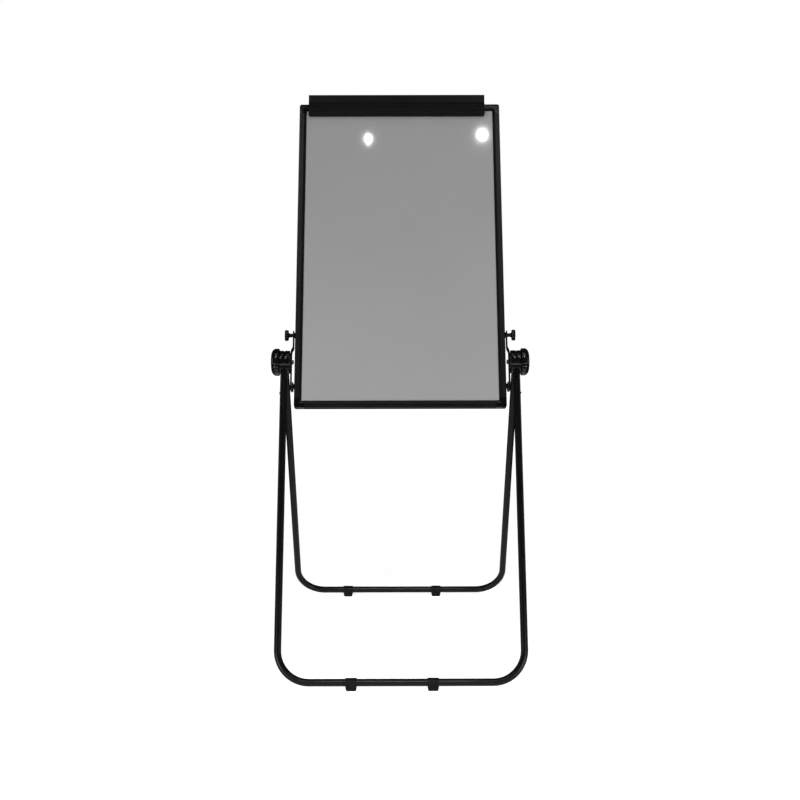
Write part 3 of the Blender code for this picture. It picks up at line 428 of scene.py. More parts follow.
def makeLegTube(name, side):
    # one ring of edges is drawn down, spun round the bend, along the floor and up again
    half, y = legTube["half"], side * easel["legSideOffset"]
    run = easel["legLength"] - legTube["bend"] + legTube["top"]
    elbow = half - legTube["bend"]
    leaveAll()
    bpy.ops.mesh.primitive_circle_add(
        vertices=legTube["sides"], radius=easel["tubeRadius"] * mm, fill_type="NOTHING",
        location=(half * mm, y * mm, legTube["top"] * mm),
    )
    piece = newPiece(name)
    pushOut(0, 0, -run)
    for x in (elbow, -elbow):
        middle = (x * mm, y * mm, (legTube["bend"] - easel["legLength"]) * mm)
        bpy.ops.mesh.spin(
            steps=legTube["bendSteps"], angle=-math.pi / 2, center=middle, axis=(0, 1, 0)
        )
        if x > 0:
            pushOut(-2 * elbow, 0, 0)
    pushOut(0, 0, run)
    turnOutwards()
    addStep(piece, "SOLIDIFY", thickness=legTube["wall"] * mm, offset=-1.0)
    return piece


for legName, side in legs:
    tube = makeLegTube(legName.replace("_leg", "LegTube"), side)
    hangOnHub(tube, side * legLean)
    finishPiece(tube, made["coat"], legName, [legName + "_tube"], "tube")
print("easel: leg tubes")


# hub ends of the legs

hubEnd = {"radius": 33.0, "edge": 2.0, "edgeSteps": 5, "bore": 4.3, "steps": 72,
          "armTop": -11.0, "armFoot": -60.0, "spigot": 50.0, "spigotInset": 1.9,
          "tipInset": 0.8, "tipSink": 1.2, "clear": 1.2, "overlap": 0.05, "heart": 16.5, "past": 2.0,
          "disc": {"front_leg": (330.1, 343.1), "rear_leg": (313.5, 328.5)},
          "scoopEnd": {"front_leg": 290.0, "rear_leg": 380.0}}


def makeHubEnd(name, legName, side):
    h = hubEnd
    radius, edge, bore = h["radius"], h["edge"], h["bore"]
    discStart, discEnd = h["disc"][legName]
    profile = [(discStart, bore)]
    profile += arcPoints((discStart + edge, radius - edge), edge, 180, 90, h["edgeSteps"])
    profile += arcPoints((discEnd - edge, radius - edge), edge, 90, 0, h["edgeSteps"])
    profile += [(discEnd, bore), (discStart, bore)]
    disc = turnOnLathe(name, profile, h["steps"])

    # arm: a round bar, stepped down to the plug that goes into the tube
    y = side * easel["legSideOffset"]
    top, bottom = h["armTop"], h["armFoot"]
    leaveAll()
    bpy.ops.mesh.primitive_cylinder_add(
        vertices=legTube["sides"], radius=easel["tubeRadius"] * mm, depth=(top - bottom) * mm,
        location=(legTube["half"] * mm, y * mm, (top + bottom) / 2 * mm),
    )
    arm = newPiece("arm")
    pick("FACE", lambda place, normal: normal.z < -nearAxis)
    bpy.ops.mesh.inset(thickness=h["spigotInset"] * mm)
    pushOut(0, 0, -h["spigot"])
    bpy.ops.mesh.inset(thickness=h["tipInset"] * mm, depth=h["tipSink"] * mm)
    leaveAll()
    # room for the other leg's disc, cut a little into this one so that no two faces coincide
    scoopEnd = h["scoopEnd"][legName]
    scoop = (scoopEnd, discStart + h["overlap"]) if side < 0 else (discEnd - h["overlap"], scoopEnd)
    combine(arm, rodTool(*scoop, radius + h["clear"], sides=h["steps"]), "DIFFERENCE")
    # the arm stays out of the middle of its own disc, where the stud runs
    combine(arm, rodTool(discStart - h["past"], discEnd + h["past"], h["heart"]), "DIFFERENCE")
    combine(disc, arm, "UNION")
    return disc


for legName, side in legs:
    hub = makeHubEnd("hub", legName, side)
    finishPair(hub, legName.replace("_leg", "LegHub"), made["moulded"], legName,
               legName + "_hub", side * legLean)
print("easel: hub ends")


# screws

panScrew = {
    "slot": 0.8, "slotLength": 0.62, "slotDepth": 0.55, "over": 1.0, "steps": 28,
    # shares of the shank's radius at the point, and of the head's rise and radius over its crown
    "pointRadius": 0.7, "pointLength": 0.4, "headSeat": 0.97,
    "crown": ((0.15, 1.0), (0.5, 0.97), (0.78, 0.82), (0.94, 0.55), (1.0, 0.25)),
    "legGap": 0.3, "legDrop": -95.0, "glideSeat": 306.3, "glideDrop": -72.0,
}
screwSizes = {
    "leg": {"shank": 2.0, "head": 3.5, "rise": 2.0, "length": 14.0},
    "glide": {"shank": 2.5, "head": 4.7, "rise": 1.8, "length": 13.1},
    "clip": {"shank": 2.0, "head": 4.0, "rise": 2.2, "length": 9.0},
}


def makeScrew(name, shank, head, rise, length):
    # pan head with a cross recess, seat at X = 0, head towards +X
    p = panScrew
    profile = [(-length, 0.0), (-length, shank * p["pointRadius"])]
    profile += [(-length + shank * p["pointLength"], shank), (0.0, shank), (0.0, head * p["headSeat"])]
    profile += [(rise * up, head * out) for up, out in p["crown"]] + [(rise, 0.0)]
    screw = turnOnLathe(name, profile, p["steps"])
    leaveAll()
    reach, half = head * p["slotLength"], p["slot"] / 2
    floor, over = rise * (1 - p["slotDepth"]), rise + p["over"]
    combine(screw, blockTool((floor, -reach, -half), (over, reach, half)), "DIFFERENCE")
    combine(screw, blockTool((floor, -half, -reach), (over, half, reach)), "DIFFERENCE")
    return screw


legScrew = makeScrew("legScrew", **screwSizes["leg"])
for legName, side in legs:
    screw = copyPiece(legScrew, "screw")
    shiftPiece(screw, legTube["half"] + easel["tubeRadius"] + panScrew["legGap"],
               side * easel["legSideOffset"], panScrew["legDrop"])
    finishPair(screw, legName.replace("_leg", "LegScrew"), made["zinc"], legName,
               legName + "_screw", side * legLean)
bpy.data.objects.remove(legScrew)

screw = makeScrew("glideScrew", **screwSizes["glide"])
shiftPiece(screw, panScrew["glideSeat"], 0.0, panScrew["glideDrop"])
finishPair(screw, "glideScrew", made["zinc"], "carriage", "glide_screw", -boardLean)
print("easel: screws")


# feet

foot = {"sleeve": 2.5, "width": 30.0, "depth": 21.0, "taper": 0.84, "slitFrom": 35.0, "slitTo": 70.0,
        "play": 0.3, "soft": 1.2, "floorRound": 1.5, "roundSteps": 3, "arcSteps": (20, 9, 40),
        "rimFrom": 0.6, "rimAcross": 0.2, "rimShare": 0.8,  # which edges count as a rim
        "frontX": (-132.5, 85.0), "rearX": (-169.5, 116.0)}


def makeFoot(name):
    # section across the bar, pushed to its width, drawn in towards the floor and softened
    outer = easel["tubeRadius"] + foot["sleeve"]
    bore = easel["tubeRadius"] + foot["play"]
    half, floor = foot["depth"] / 2, -easel["barHeight"]
    shoulder = math.degrees(math.acos(half / outer))
    overSteps, underSteps, boreSteps = foot["arcSteps"]
    outline = arcPoints((0, 0), outer, foot["slitTo"], 180 + shoulder, overSteps)
    sole = [outline[-1], (-half, floor), (half, floor), (half, -outer)]
    outline += roundCorners(sole, foot["floorRound"], foot["roundSteps"])[1:-1]
    outline += arcPoints((0, 0), outer, -shoulder, foot["slitFrom"], underSteps)
    outline += arcPoints((0, 0), bore, foot["slitFrom"], foot["slitTo"] - 360, boreSteps)
    wide = foot["width"] / 2
    piece = drawSlab(name, [(-wide, y, z) for y, z in outline], (2 * wide, 0, 0))
    pick("VERT", lambda place, normal: place.z < -outer)
    bpy.ops.transform.resize(value=(foot["taper"], 1, 1), center_override=(0, 0, 0))

    # the two rims are eased, except inside the bore
    def rim(place, along):
        outside = math.hypot(place.y, place.z) > bore + foot["rimFrom"] or place.z < -outer
        return outside and abs(along.x) < foot["rimAcross"] and abs(place.x) > wide * foot["rimShare"]

    pick("EDGE", rim)
    bpy.ops.mesh.bevel(offset=foot["soft"] * mm, segments=3, affect="EDGES", clamp_overlap=True)
    turnOutwards(fineMerge)
    leaveAll()
    return piece


frontFoot = makeFoot("frontFoot")
rearFoot = flipCopy(frontFoot, "rearFoot", 1)
for legName, side, first, places in (
    ("front_leg", -1, frontFoot, foot["frontX"]),
    ("rear_leg", 1, rearFoot, foot["rearX"]),
):
    for which, x in zip(("left", "right"), places):
        pad = copyPiece(first, legName.replace("_leg", "Foot") + which.capitalize())
        shiftPiece(pad, x, side * barReach / mm, easel["barHeight"])
        finishPiece(pad, made["rubber"], legName, [f"{legName}_foot_{which}"], "rubber")
    bpy.data.objects.remove(first)
print("easel: feet")


# clamp knobs on the hub

clampKnob = {"start": 343.4, "thick": 22.6, "radius": 39.0, "edge": 1.5, "edgeSteps": 5, "rim": 9.1,
             "face": 21.0, "domeStep": 6, "ring": 24.0, "pocket": 7.3, "pocketDepth": 13.3,
             "recess": 17.3, "recessDepth": 2.0, "recessEase": 0.5, "recessRise": 0.1,
             "flutes": 16, "depth": 0.8, "perFlute": 8, "gripFrom": 28.5}


def cutFlutes(flutes, perFlute, depth, radius, centre, inner):
    # columns of the turned grip at hand are drawn in, most at the middle of each flute
    steps = flutes * perFlute
    for k in range(1, perFlute // 2 + 1):
        sink = depth * (1 - math.cos(2 * math.pi * k / perFlute)) / 2
        columns = {k, perFlute - k}

        def inColumn(place, normal):
            y, z = place.y - centre[0], place.z - centre[1]
            column = round(math.atan2(y, z) / (2 * math.pi) * steps) % perFlute
            return math.hypot(y, z) > inner and column in columns

        pick("VERT", inColumn)
        share = 1 - sink / radius
        middle = (0, centre[0] * mm, centre[1] * mm)
        bpy.ops.transform.resize(value=(1, share, share), center_override=middle)


def makeClampKnob(name):
    k = clampKnob
    end = k["start"] + k["thick"]
    pocket, recess = k["start"] + k["pocketDepth"], end - k["recessDepth"]
    profile = [(pocket, 0.0), (pocket, k["pocket"]), (k["start"], k["pocket"]), (k["start"], k["ring"])]
    middle = (k["start"] + k["edge"], k["radius"] - k["edge"])
    profile += arcPoints(middle, k["edge"], 180, 90, k["edgeSteps"])
    for turn in range(0, 91, k["domeStep"]):
        along = k["rim"] + math.sin(math.radians(turn)) * (k["thick"] - k["rim"])
        out = k["face"] + math.cos(math.radians(turn)) * (k["radius"] - k["face"])
        profile.append((k["start"] + along, out))
    profile += [(end - k["recessRise"], k["recess"] + k["recessEase"])]
    profile += [(end - k["recessEase"], k["recess"]), (recess, k["recess"]), (recess, 0.0)]
    piece = turnOnLathe(name, profile, k["flutes"] * k["perFlute"])
    cutFlutes(k["flutes"], k["perFlute"], k["depth"], k["radius"], (0, 0), k["gripFrom"])
    turnOutwards(fineMerge)
    leaveAll()
    return piece


knobCap = {"start": 364.3, "end": 366.0, "radius": 17.0, "edge": 0.6, "edgeSteps": 4, "rim": 1.6,
           "dishRim": 2.4, "dishRimSink": 0.35, "dish": 6.0, "dishSink": 0.5, "steps": 64}


def makeKnobCap(name):
    # shallow dished disc with an eased rim
    k = knobCap
    start, end, radius, edge = k["start"], k["end"], k["radius"], k["edge"]
    profile = [(start, 0.0), (start, radius)]
    profile += arcPoints((end - edge, radius - edge), edge, 90, 0, k["edgeSteps"])
    profile += [(end, radius - k["rim"]), (end - k["dishRimSink"], radius - k["dishRim"])]
    profile += [(end - k["dishSink"], k["dish"]), (end - k["dishSink"], 0.0)]
    piece = turnOnLathe(name, profile, k["steps"])
    leaveAll()
    return piece


finishPair(makeClampKnob("knob"), "clampKnob", made["moulded"], "clamp_{side}",
           "clamp_knob", -boardLean, "knob")
finishPair(makeKnobCap("cap"), "knobCap", made["moulded"], "clamp_{side}", "knob_cap",
           -boardLean, "knob")
print("easel: clamp knobs")


# lock knobs on the brackets

lockKnob = {"seat": 306.3, "neck": 5.5, "neckLength": 12.8, "neckEase": 0.4, "flare": 5.5, "thick": 10.3,
            "radius": 16.2, "edge": 2.0, "edgeSteps": 6, "flareSteps": 8,
            "dish": 7.0, "dishRimSink": 0.3, "dishSink": 0.45,
            "bore": 2.8, "boreDepth": 15.3, "height": 80.0,
            "flutes": 8, "depth": 1.0, "perFlute": 8, "gripFrom": 12.5}


def makeLockKnob(name):
    k = lockKnob
    head = k["seat"] + k["neckLength"]
    end = head + k["thick"]
    bore, ease = k["seat"] + k["boreDepth"], k["neckEase"]
    profile = [(bore, 0.0), (bore, k["bore"]), (k["seat"], k["bore"])]
    profile += [(k["seat"], k["neck"] - ease), (k["seat"] + ease, k["neck"])]
    profile += arcPoints((head - k["flare"], k["neck"] + k["flare"]), k["flare"], -90, 0, k["flareSteps"])
    edge, reach = k["edge"], k["radius"] - k["edge"]
    profile += arcPoints((head + edge, reach), edge, 180, 90, k["edgeSteps"])
    profile += arcPoints((end - edge, reach), edge, 90, 0, k["edgeSteps"])
    profile += [(end - k["dishRimSink"], k["dish"]), (end - k["dishSink"], 0.0)]
    centre = (0, k["height"])
    piece = turnOnLathe(name, profile, k["flutes"] * k["perFlute"], centre)
    cutFlutes(k["flutes"], k["perFlute"], k["depth"], k["radius"], centre, k["gripFrom"])
    turnOutwards(fineMerge)
    leaveAll()
    return piece


finishPair(makeLockKnob("lockKnob"), "lockKnob", made["moulded"], "lock_{side}",
           "lock_knob", -boardLean, "knob")
print("easel: lock knobs")


# side brackets

bracket = {
    "thick": 3.0, "width": 26.0, "foot": 304.5, "out": 309.9, "top": 92.0, "stepTop": 41.0,
    "stepBottom": 31.5, "bottom": -84.0, "footTop": -62.0, "stepBend": 15.0, "turn": 2.697, "bendSteps": 7,
    "topRound": 6.0, "topSteps": 6, "soft": 0.5, "softAngle": 50.0, "topEdge": 0.1, "holeSides": 32,
    # holes: from, to, radius and height
    "holes": ((300, 320, 4.3, 0), (300, 320, 2.8, 80), (300, 306.3, 2.8, -72), (306.3, 320, 5.0, -72)),
}


def makeBracket(name):
    # centre line of the strip, swept to its width, thickened and drilled
    b = bracket
    corners = [(b["foot"], b["top"]), (b["foot"], b["stepTop"]), (b["out"], b["stepBottom"]),
               (b["out"], b["bottom"]), (b["foot"], b["bottom"]), (b["foot"], b["footTop"])]
    radii = [0, b["stepBend"], b["stepBend"], b["turn"], b["turn"], 0]
    line = roundCorners(corners, radii, b["bendSteps"])
    piece = drawLine(name, [(x, -b["width"] / 2, z) for x, z in line])
    pushOut(0, b["width"], 0)
    turnOutwards()
    addStep(piece, "SOLIDIFY", thickness=b["thick"] * mm, offset=0.0, use_even_offset=True)
    # the strip's upper corners are rounded, then all the sheared edges are eased
    editPiece(piece)
    pick("EDGE", lambda place, along: abs(along.x) > nearAxis and place.z > b["top"] - b["topEdge"])
    bpy.ops.mesh.bevel(offset=b["topRound"] * mm, segments=b["topSteps"], affect="EDGES")
    leaveAll()
    addStep(piece, "BEVEL", width=b["soft"] * mm, segments=2, limit_method="ANGLE",
            angle_limit=math.radians(b["softAngle"]))
    for start, end, radius, height in b["holes"]:
        combine(piece, rodTool(start, end, radius, height, b["holeSides"]), "DIFFERENCE")
    return piece


finishPair(makeBracket("bracket"), "sideBracket", made["coat"], "carriage", "side_bracket",
           -boardLean)
print("easel: brackets")


# frame of the board

profileRail = {"face": 10.0, "edge": 2.5, "edgeSteps": 8, "bevelStart": 13.5, "bevelEase": 1.2,
               "easeSteps": 4, "inner": 21.0, "lip": 1.4, "lipEase": 0.5, "sheet": 4.4, "panelFloor": 13.0,
               "grooveAt": 7.0, "grooveWidth": 0.8, "grooveDepth": 0.5,
               "slotMouth": 5.0, "slotLip": 2.0, "slotHalf": 7.8, "slotDepth": 7.6, "slotEase": 0.35,
               "cornerLength": 29.0, "gap": 0.3}


def faceHalf():
    # from the frame's outer edge over its face to the panel's groove: (inwards, out from the middle)
    r = profileRail
    lip = r["sheet"] + r["gap"] + r["lip"]
    half = arcPoints((r["edge"], r["face"] - r["edge"]), r["edge"], 180, 90, r["edgeSteps"])
    groove, width = r["grooveAt"], r["grooveWidth"]
    half += [(groove, r["face"]), (groove + width / 2, r["face"] - r["grooveDepth"])]
    half += [(groove + width, r["face"])]
    bevel = [half[-1], (r["bevelStart"], r["face"]), (r["inner"], lip), (r["inner"], lip - r["lip"])]
    half += roundCorners(bevel, [0, r["bevelEase"], r["lipEase"], 0], r["easeSteps"])[1:]
    half.append((r["panelFloor"], lip - r["lip"]))
    return half


def bothFaces(half):
    return half + [(inwards, -out) for inwards, out in reversed(half)]


def railOutline():
    r = profileRail
    slot = [(r["slotDepth"], r["slotHalf"]), (r["slotLip"], r["slotHalf"]), (r["slotLip"], r["slotMouth"])]
    slot += [(r["slotEase"], r["slotMouth"]), (0.0, r["slotMouth"] + r["slotEase"])]
    return bothFaces(slot + faceHalf())


railEnd = easel["boardHalf"] - profileRail["cornerLength"] - profileRail["gap"]
railFoot = easel["boardFoot"] + profileRail["cornerLength"] + profileRail["gap"]
for name, edge, inwards in (("top_rail", easel["boardTop"], -1), ("bottom_rail", easel["boardFoot"], 1)):
    outline = [(-railEnd, -out, edge + inwards * d) for d, out in railOutline()]
    rail = drawSlab(name.replace("_rail", "Rail"), outline, (2 * railEnd, 0, 0))
    hangOnHub(rail, -boardLean)
    finishPiece(rail, made["profileAcross"], "board", [name], "profile")
outline = [(easel["boardHalf"] - d, -out, railFoot) for d, out in railOutline()]
stile = drawSlab("stile", outline, (0, 0, 2 * (boardMiddle - railFoot)))
finishPair(stile, "sideRail", made["profileUp"], "board", "side_rail", -boardLean,
           "profile")
print("easel: rails")


corner = {"radius": 8.0, "radiusSteps": 12, "tenon": 12.0, "root": 2.0, "gap": 0.3, "merge": 0.01,
          "block": 80.0, "blockHalf": 20.0, "blockEdge": 1.0}


def makeCorner(name):
    # lower right corner about the middle of the board: the profile cut at the mitre and mirrored there
    r, c = profileRail, corner
    half, floor, length = easel["boardHalf"], easel["boardFoot"] - boardMiddle, profileRail["cornerLength"]
    outline = [(half - d, -out, floor) for d, out in bothFaces(faceHalf())]
    piece = drawSlab(name, outline, (0, 0, length))
    leaveAll()
    bpy.ops.object.empty_add(location=(half * mm, 0, floor * mm), rotation=(0, -math.pi / 4, 0))
    mitre = bpy.context.object
    addStep(piece, "MIRROR", mirror_object=mitre, use_axis=(True, False, False),
            use_bisect_axis=(True, False, False), merge_threshold=c["merge"] * mm)
    bpy.data.objects.remove(mitre)
    # the outer corner is rounded by what it shares with a softened block
    size, wide, edge = c["block"], c["blockHalf"], c["blockEdge"]
    block = blockTool((half - size, -wide, floor), (half, wide, floor + size))
    editPiece(block)
    pick("EDGE", lambda place, along: (
        abs(along.y) > nearAxis and place.x > half - edge and place.z < floor + edge
    ))
    bpy.ops.mesh.bevel(offset=c["radius"] * mm, segments=c["radiusSteps"], affect="EDGES")
    leaveAll()
    combine(piece, block, "INTERSECT")
    near, far, wide = r["slotLip"] + c["gap"], r["slotDepth"] - c["gap"], r["slotHalf"] - c["gap"]
    root, tip = length - c["root"], length + c["tenon"]
    combine(piece, blockTool((half - far, -wide, floor + root), (half - near, wide, floor + tip)), "UNION")
    combine(piece, blockTool((half - tip, -wide, floor + near), (half - root, wide, floor + far)), "UNION")
    return piece


lowerCorner = makeCorner("lowerCorner")
upperCorner = flipCopy(lowerCorner, "upperCorner", 2)
for place, cap in (("bottom", lowerCorner), ("top", upperCorner)):
    shiftPiece(cap, 0, 0, boardMiddle)
    finishPair(cap, place + "Corner", made["moulded"], "board", place + "_corner",
               -boardLean, "profile")
print("easel: corners")


# paper clip

clip = {"half": 263.5, "shift": -8.6, "sheet": 2.0, "plate": 10.3, "drop": -20.0, "flange": -7.0,
        "beadOut": 18.5, "beadUp": -9.0, "bead": 3.2, "stalk": 2.4, "bore": 3.5, "socket": 5.7,
        "jawDrop": 30.0, "bulge": 6.9, "groove": 4.0, "rise": 31.5, "lean": 5.8, "strip": 3.0, "lip": 10.5,
        "footEase": 0.5, "top": 2.3, "seat": 0.3, "frontEase": 1.0, "flangeEase": 0.4,
        "screws": (("left", -220.0), ("right", 220.0)), "screwSeat": 2.6,
        "hole": 2.3, "holeSides": 32, "drill": 8.0, "easeSteps": 4,
        "beadSteps": 28, "boreSteps": 30, "wall": 1.2,  # the jaw's wall as a share of the sheet
        # arcs round the socket: from, to and steps
        "back": (-152.0, -115, 5), "front": (-62, 38, 16), "behind": (80, 122.0, 6),
        "mouth": (0.88, 0.96, 0.3, 0.25),  # shares of the drop and of the lip, inside and outside
        # shares of the groove and of the drop down the jaw's face, and the radii of the corners
        "face": ((0.0, 0.285), (0.10, 0.40), (0.30, 0.53), (0.60, 0.67), (0.94, 0.80), (1.0, 0.86)),
        "jawRadii": (0, 1.0, 4, 4, 4, 2, 1.0, 1.0, 0.3, 0.3, 1.5, 1.5, 1.5, 2, 4, 4, 4, 0.8, 0),
        "leverRadii": (0, 0.4, 0.7, 0.7, 0.8, 0.6, 0.4, 1.0, 0)}


def clipBaseOutline():
    c = clip
    front, half = c["plate"] + c["sheet"], c["stalk"] / 2
    turn = 180 - math.degrees(math.asin(half / c["bead"]))
    ease, curve, top, seat = c["footEase"], c["frontEase"], c["top"], c["seat"]
    outline = [(c["plate"], c["drop"]), (front - ease, c["drop"]), (front, c["drop"] + ease)]
    outline += [(front, c["beadUp"] - half)]
    outline += arcPoints((c["beadOut"], c["beadUp"]), c["bead"], -turn, turn, c["beadSteps"])
    outline += [(front, c["beadUp"] + half), (front, top - curve), (front - curve, top)]
    outline += [(c["flange"] + c["flangeEase"], top), (c["flange"], top - c["flangeEase"])]
    return outline + [(c["flange"], seat), (c["plate"], seat)]


def clipJawOutline():
    # lever above, socket round the bead, hollow jaw below
    c = clip
    sheet, drop, outer, lip = c["sheet"], c["jawDrop"], c["socket"], c["lip"]
    wall = c["wall"] * sheet
    hollow, run = c["bulge"] - c["groove"], c["groove"]
    bore = arcPoints((0, 0), c["bore"], c["behind"][1], c["back"][0], c["boreSteps"])
    back = arcPoints((0, 0), outer, *c["back"])
    # the face swells out below the socket and turns in sharply at the mouth
    face = c["face"]
    inner = [back[-1]] + [(hollow + out * run - wall, -down * drop) for out, down in face[:-1]]
    innerDown, outerDown, innerOut, outerOut = c["mouth"]
    inner += [(hollow - wall / 2, -innerDown * drop), (-innerOut * lip, -drop + c["strip"])]
    inner += [(-lip, -drop + c["strip"]), (-lip, -drop), (-outerOut * lip, -drop)]
    inner += [(hollow + wall / 2, -outerDown * drop)]
    inner += [(hollow + out * run, -down * drop) for out, down in reversed(face)]
    front = arcPoints((0, 0), outer, *c["front"])
    jaw = roundCorners(inner + front[:1], c["jawRadii"], c["easeSteps"])[1:-1]
    ridge = outer + sheet
    top = [front[-1], (outer - sheet / 8, outer), (outer, ridge), (outer - sheet / 3, ridge + sheet / 2),
           (c["lean"] + 0.8 * sheet, c["rise"] - sheet / 2), (c["lean"] + sheet / 2, c["rise"]),
           (c["lean"], c["rise"] - sheet / 4), (outer - 1.45 * sheet, outer + 1.25 * sheet)]
    behind = arcPoints((0, 0), outer, *c["behind"])
    lever = roundCorners(top + behind[:1], c["leverRadii"], c["easeSteps"])[1:-1]
    return bore + back + jaw + front + lever + behind


def alongClip(name, outline, half):
    start = clip["shift"] - half
    return drawSlab(name, [(start, -out, easel["boardTop"] + up) for out, up in outline], (2 * half, 0, 0))


base = alongClip("clipBase", clipBaseOutline(), clip["half"])
leaveAll()
for _, x in clip["screws"]:
    drill = rodTool(-clip["drill"], clip["drill"], clip["hole"], sides=clip["holeSides"])
    takeUp(drill)
    drill.rotation_euler = (0, math.pi / 2, 0)
    drill.location = ((clip["shift"] + x) * mm, 0, easel["boardTop"] * mm)
    bpy.ops.object.transform_apply(location=True, rotation=True, scale=True)
    combine(base, drill, "DIFFERENCE")
hangOnHub(base, -boardLean)
finishPiece(base, made["clipProfile"], "board", ["clip_base"], "profile")

jawOutline = [(clip["beadOut"] + out, clip["beadUp"] + up) for out, up in clipJawOutline()]
jaw = alongClip("clipJaw", jawOutline, clip["half"])
hangOnHub(jaw, -boardLean)
finishPiece(jaw, made["clipProfile"], "jaw", ["clip_jaw"], "profile")

# rubber strip under the jaw, ribbed where it meets the paper
gripStrip = {"near": 4.7, "far": 7.7, "low": -39.0, "high": -36.0, "half": 259.5,
             "ribs": 4, "rib": 0.35, "ribFrom": 0.3, "ribTo": 0.6, "ribEnd": 0.95}
g = gripStrip
ribbed = [(g["far"], g["low"]), (g["far"], g["high"]), (g["near"] + g["rib"], g["high"])]
step = (g["high"] - g["low"]) / g["ribs"]
for i in range(g["ribs"]):
    ribbed += [(g["near"], g["high"] - (i + g[share]) * step) for share in ("ribFrom", "ribTo")]
    ribbed += [(g["near"] + g["rib"], g["high"] - (i + g["ribEnd"]) * step)]
strip = alongClip("gripStrip", ribbed[:-1] + [(g["near"] + g["rib"], g["low"])], g["half"])
hangOnHub(strip, -boardLean)
finishPiece(strip, made["rubber"], "jaw", ["clip_grip_strip"], "rubber")

clipScrew = makeScrew("clipScrew", **screwSizes["clip"])
for side, x in clip["screws"]:
    screw = copyPiece(clipScrew, "clipScrew" + side.capitalize())
    screw.rotation_euler = (0, -math.pi / 2, 0)
    screw.location = ((clip["shift"] + x) * mm, 0, (easel["boardTop"] + clip["screwSeat"]) * mm)
    bpy.ops.object.transform_apply(location=True, rotation=True, scale=True)
    hangOnHub(screw, -boardLean)
    finishPiece(screw, made["zinc"], "board", ["clip_screw_" + side])
bpy.data.objects.remove(clipScrew)

# leaf springs between the base and the lever
leafSpring = {"places": (("left", -150.0), ("right", 150.0)), "half": 20.0, "thick": 0.6, "foot": -5.0,
              "bend": 10.0, "tip": 21.424, "seat": 2.9, "rise": 15.57, "radius": 6.0, "bendSteps": 8,
              "steps": 10, "soft": 0.12, "softAngle": 60.0, "flexTo": 0.55}


def makeSpring(name):
    s = leafSpring
    corners = [(s["foot"], s["seat"]), (s["bend"], s["seat"]), (s["tip"], s["rise"])]
    line = roundCorners(corners, [0, s["radius"], 0], s["bendSteps"])
    tip, run = line[-1], line[-2]
    leaf = [tuple(a + (b - a) * i / s["steps"] for a, b in zip(run, tip)) for i in range(1, s["steps"] + 1)]
    piece = drawLine(name, [(-s["half"], -out, easel["boardTop"] + up) for out, up in line[:-1] + leaf])
    pushOut(2 * s["half"], 0, 0)
    turnOutwards()
    addStep(piece, "SOLIDIFY", thickness=s["thick"] * mm, offset=0.0, use_even_offset=True)
    addStep(piece, "BEVEL", width=s["soft"] * mm, segments=2, limit_method="ANGLE",
            angle_limit=math.radians(s["softAngle"]))
    return piece


spring = makeSpring("spring")
for side, x in leafSpring["places"]:
    leaf = copyPiece(spring, "clipSpring" + side.capitalize())
    shiftPiece(leaf, clip["shift"] + x)
    hangOnHub(leaf, -boardLean)
    dressPiece(leaf, made["spring"], "plain")
    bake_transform(leaf)
    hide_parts("clip_spring_" + side)
    leaveAll()
bpy.data.objects.remove(spring)
print("easel: paper clip")


# pieces that keep their shape and get a finish

plain = {
    "front_sheet": "enamel", "rear_sheet": "enamel", "board_core": "honeycomb",
    "thrust_washer": "darkSteel", "pivot_stud": "darkSteel", "lock_stud": "zinc", "clip_nut": "zinc",
    "knob_insert": "brass", "friction_washer": "fibre", "upper_glide": "moulded", "lower_glide": "moulded",
}
for nodeName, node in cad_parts.items():
    stem = nodeName.removesuffix("_left").removesuffix("_right")
    if stem in plain:
        for place in node.material_slots:
            place.material = made[plain[stem]]
print("easel: plain pieces")


# floor, light and camera

studio = {
    "floorHalf": 14.0, "floorSeen": 0.95, "floorBounce": 0.14, "floorGlow": 0.84, "glowEdge": 1.0,
    "fadeFrom": 1.2, "fadeTo": 3.2, "mirrorGlow": 0.9, "mirrorFrom": 0.5, "mirrorTo": 1.1,
    "bounceGlow": 0.45, "roomTone": 0.05, "floorCuts": 6, "paperRough": 0.9, "paperGloss": 0.1,
    # soft boxes: power, size, place and aim; one that stands off the middle has a twin on the other side
    "boxes": {
        "key": (5.0, (1.2, 0.9), (0.0, -0.15, 4.2), (0.0, -0.15, 0.0)),
        "fill": (9.0, (2.4, 0.5), (0.0, -2.3, 0.2), (0.0, 0.1, 1.0)),
        "side": (36.0, (1.0, 1.0), (1.7, -1.9, 0.25), (0.0, 0.0, 0.7)),
        "flank": (8.0, (1.0, 1.4), (3.1, 0.4, 1.0), (0.0, 0.0, 0.8)),
        "hub": (2.6, (0.16, 0.24), (0.6, -0.95, 3.0), (0.33, 0.0, 0.82)),
        "front": (3.0, (0.28, 0.28), (0.78, -1.75, 3.0), (0.33, 0.0, 0.82)),
    },
    # gridded strips over the two floor bars: power, size, place and aim
    "strips": (
        (0.09, (0.48, 0.05), (0.0, -0.742, 0.505), (0.0, -0.39, 0.02)),
        (0.09, (0.40, 0.05), (0.0, 0.038, 0.505), (0.0, 0.39, 0.02)),
    ),
    "stripSpread": 24.0,
    # two small lamps that the board mirrors: power, size and place
    "lamps": (
        (0.36, (0.008, 0.014), (-0.137, -0.910, 3.0)),
        (1.0, (0.020, 0.026), (0.378, -0.888, 3.0)),
    ),
    "lampAim": (0.0, 0.2, 1.3),
}


def addRange(tree, source, output, low, high, smooth=True):
    # runs from the first (value, result) to the second
    step = tree.nodes.new("ShaderNodeMapRange")
    step.interpolation_type = "SMOOTHSTEP" if smooth else "LINEAR"
    step.inputs["From Min"].default_value, step.inputs["To Min"].default_value = low
    step.inputs["From Max"].default_value, step.inputs["To Max"].default_value = high
    linkNodes(tree, source, output, step, "Value")
    return step


